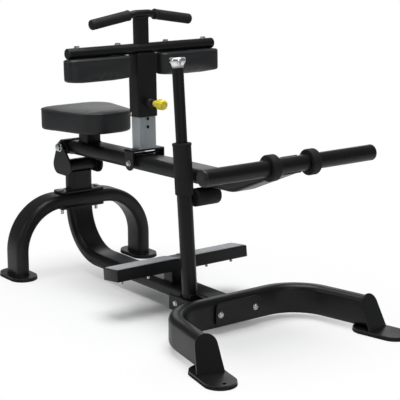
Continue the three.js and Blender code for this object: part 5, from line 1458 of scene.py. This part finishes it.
at_roller = lever_place @ at(0, 0, roller_up) @ aside
shaft, shaft_head = ROLLER_SHAFT
start = LEVER_ASIDE - roller_right
end = LEVER_ASIDE + roller_left
shape = bmesh.new()
lathe(shape, rod(shaft, -lower, end + SINK), sides=32)
fit(shape, "roller_shaft_rod", at_roller, "lever", powder_coat, "roller_shaft", edge=0.5)
shaft_nut = [((0, 0, end + 2 * GAP), (0, 0, 1), ROLLER_HEAD)]
seat_heads("roller_shaft_nut", "nut", "lever", at_roller, shaft_nut, seed=18)
shape = bmesh.new()
lathe(shape, hollow(shaft + GAP, shaft_head, lower + GAP, start - GAP), sides=40)
fit(shape, "roller_spacer_tube", at_roller, "lever", powder_coat, "roller_spacer", edge=0.5)
shoulder = ((18, 0), (19, 1.5), (24, 0.5), (28.5, 3), (roller_radius, 7))
tread = [(shaft + GAP, start)] + [(out, start + along) for out, along in shoulder]
tread += [(out, end - along) for out, along in reversed(shoulder)] + [(shaft + GAP, end)]
shape = bmesh.new()
lathe(shape, tread + tread[:1], sides=80)
fit(shape, "support_roller_turned", at_roller, "roller", moulded_rubber, "support_roller", edge=0.8, sharp=30)
roller_spot = arm_place.inverted() @ lever_place @ Vector((0, 0, roller_up))
pad_place = at(roller_spot.x, pad_aside, -arm_top - GAP - pad_thick)
shape = bmesh.new()
slab(shape, rounded(pad_long, pad_wide, WEAR_PAD_CORNER), pad_thick, pad_place)
fit(shape, "wear_pad_cut", arm_place, "arm", bearing_nylon, "wear_pad", edge=1.0)


# Welds: a rippled bead wherever tube meets plate, under the same powder coat.
# MIG welds, about 5 mm wide, with a ripple every 2.4 mm.
WELD_RADIUS = 2.6
WELD_RIPPLE = 0.16
for body, lines in weld_lines.items():
    weld = beads(f"{body}_welds", lines, WELD_RADIUS, powder_coat, ripple=WELD_RIPPLE, step=1.2)
    dress(weld, body, powder_coat, sharp=70)


# Studio: a white floor and white surroundings, and softboxes above, ahead, beside and beyond.
# The camera stands where the photograph was taken from, with a long lens.
CAMERA = (4069.3, -2499.2, 1346.0)
LENS = 117.2
AZIMUTH = math.radians(53.0)
ELEVATION = math.radians(12.96)
FLOOR_HALF = 30

floor_corners = [(x * FLOOR_HALF, y * FLOOR_HALF, 0) for x, y in ((-1, -1), (1, -1), (1, 1), (-1, 1))]
floor_mesh = bpy.data.meshes.new("studio_floor")
floor_mesh.from_pydata(floor_corners, [], [(0, 1, 2, 3)])
floor = add_object("studio_floor", floor_mesh)


def seen_straight(tree):
    """One where the camera sees a surface, straight or through something clear, and otherwise nought."""
    path = add_node(tree, "ShaderNodeLightPath").outputs
    rays = {0: path["Is Camera Ray"], 1: path["Is Transmission Ray"]}
    return add_node(tree, "ShaderNodeMath", rays, operation="MAXIMUM").outputs[0]


# Seamless paper: matt white round the machine, where it takes the shadow, and plain white beyond
paper, tree, place = new_finish("floor", "white_paper", Roughness=0.9)
surface = tree.nodes["Principled BSDF"]
mottle = add_node(tree, "ShaderNodeTexNoise", {"Vector": place, "Scale": 0.6, "Detail": 2})
whites = {0: mottle.outputs["Fac"], 6: colour("#f6f6f6"), 7: colour("#fafafa")}
tint = add_node(tree, "ShaderNodeMix", whites, data_type="RGBA")
tree.links.new(tint.outputs[2], surface.inputs["Base Color"])
reach = add_node(tree, "ShaderNodeVectorMath", {0: place}, operation="LENGTH")
fade_links = {"Value": reach.outputs["Value"], "From Min": 0.15, "From Max": 0.9}
fade = add_node(tree, "ShaderNodeMapRange", fade_links)
plain_links = {0: seen_straight(tree), 1: fade.outputs["Result"]}
plain = add_node(tree, "ShaderNodeMath", plain_links, operation="MULTIPLY")
white = add_node(tree, "ShaderNodeEmission", {"Color": (1, 1, 1, 1), "Strength": 1.0})
both_links = {0: plain.outputs[0], 1: surface.outputs[0], 2: white.outputs[0]}
both = add_node(tree, "ShaderNodeMixShader", both_links)
tree.links.new(both.outputs[0], tree.nodes["Material Output"].inputs["Surface"])
floor_mesh.materials.append(paper[1])

world = bpy.data.worlds.new("studio")
bpy.context.scene.world = world
world.use_nodes = True
tree = world.node_tree
backdrop = tree.nodes["Background"]
backdrop.inputs["Color"].default_value = (1, 1, 1, 1)
backdrop.inputs["Strength"].default_value = 1.0
room = add_node(tree, "ShaderNodeBackground", {"Color": (0.95, 0.97, 1.0, 1), "Strength": 0.22})
both_links = {0: seen_straight(tree), 1: room.outputs[0], 2: backdrop.outputs[0]}
both = add_node(tree, "ShaderNodeMixShader", both_links)
tree.links.new(both.outputs[0], tree.nodes["World Output"].inputs["Surface"])

# Each softbox: its place and where it points, in metres, its width and height, and its power in watts
softboxes = (
    ("overhead_softbox", (0.0, 0.0, 3.0), (0.0, 0.0, 0.5), 2.4, 1.8, 84),
    ("front_softbox", (3.4, -1.0, 1.9), (0.1, 0.0, 0.4), 0.8, 1.8, 14),
    ("side_softbox", (-1.0, -3.4, 1.9), (0.0, 0.0, 0.4), 0.9, 1.8, 16),
    ("far_softbox", (-2.7, 2.4, 1.5), (0.0, 0.0, 0.4), 2.6, 1.2, 15),
)
for name, spot, target, wide, high, power in softboxes:
    light = bpy.data.lights.new(name, "AREA")
    light.shape = "RECTANGLE"
    light.size = wide
    light.size_y = high
    light.energy = power
    box = add_object(name, light)
    box.location = spot
    box.rotation_euler = (Vector(target) - Vector(spot)).to_track_quat("-Z", "Y").to_euler()

lens = bpy.data.cameras.new("camera")
lens.lens = LENS
lens.sensor_width = 36
lens.clip_end = 100
camera = add_object("camera", lens)
level = math.cos(ELEVATION)
away = Vector((math.sin(AZIMUTH) * level, -math.cos(AZIMUTH) * level, math.sin(ELEVATION)))
camera.location = ground @ Vector(CAMERA)
camera.rotation_euler = (-away).to_track_quat("-Z", "Y").to_euler()
bpy.context.scene.camera = camera
bpy.context.scene.view_settings.view_transform = "Standard"

for copied in [*head_shapes.values(), foot_rib, tread_rib]:
    bpy.data.objects.remove(copied)
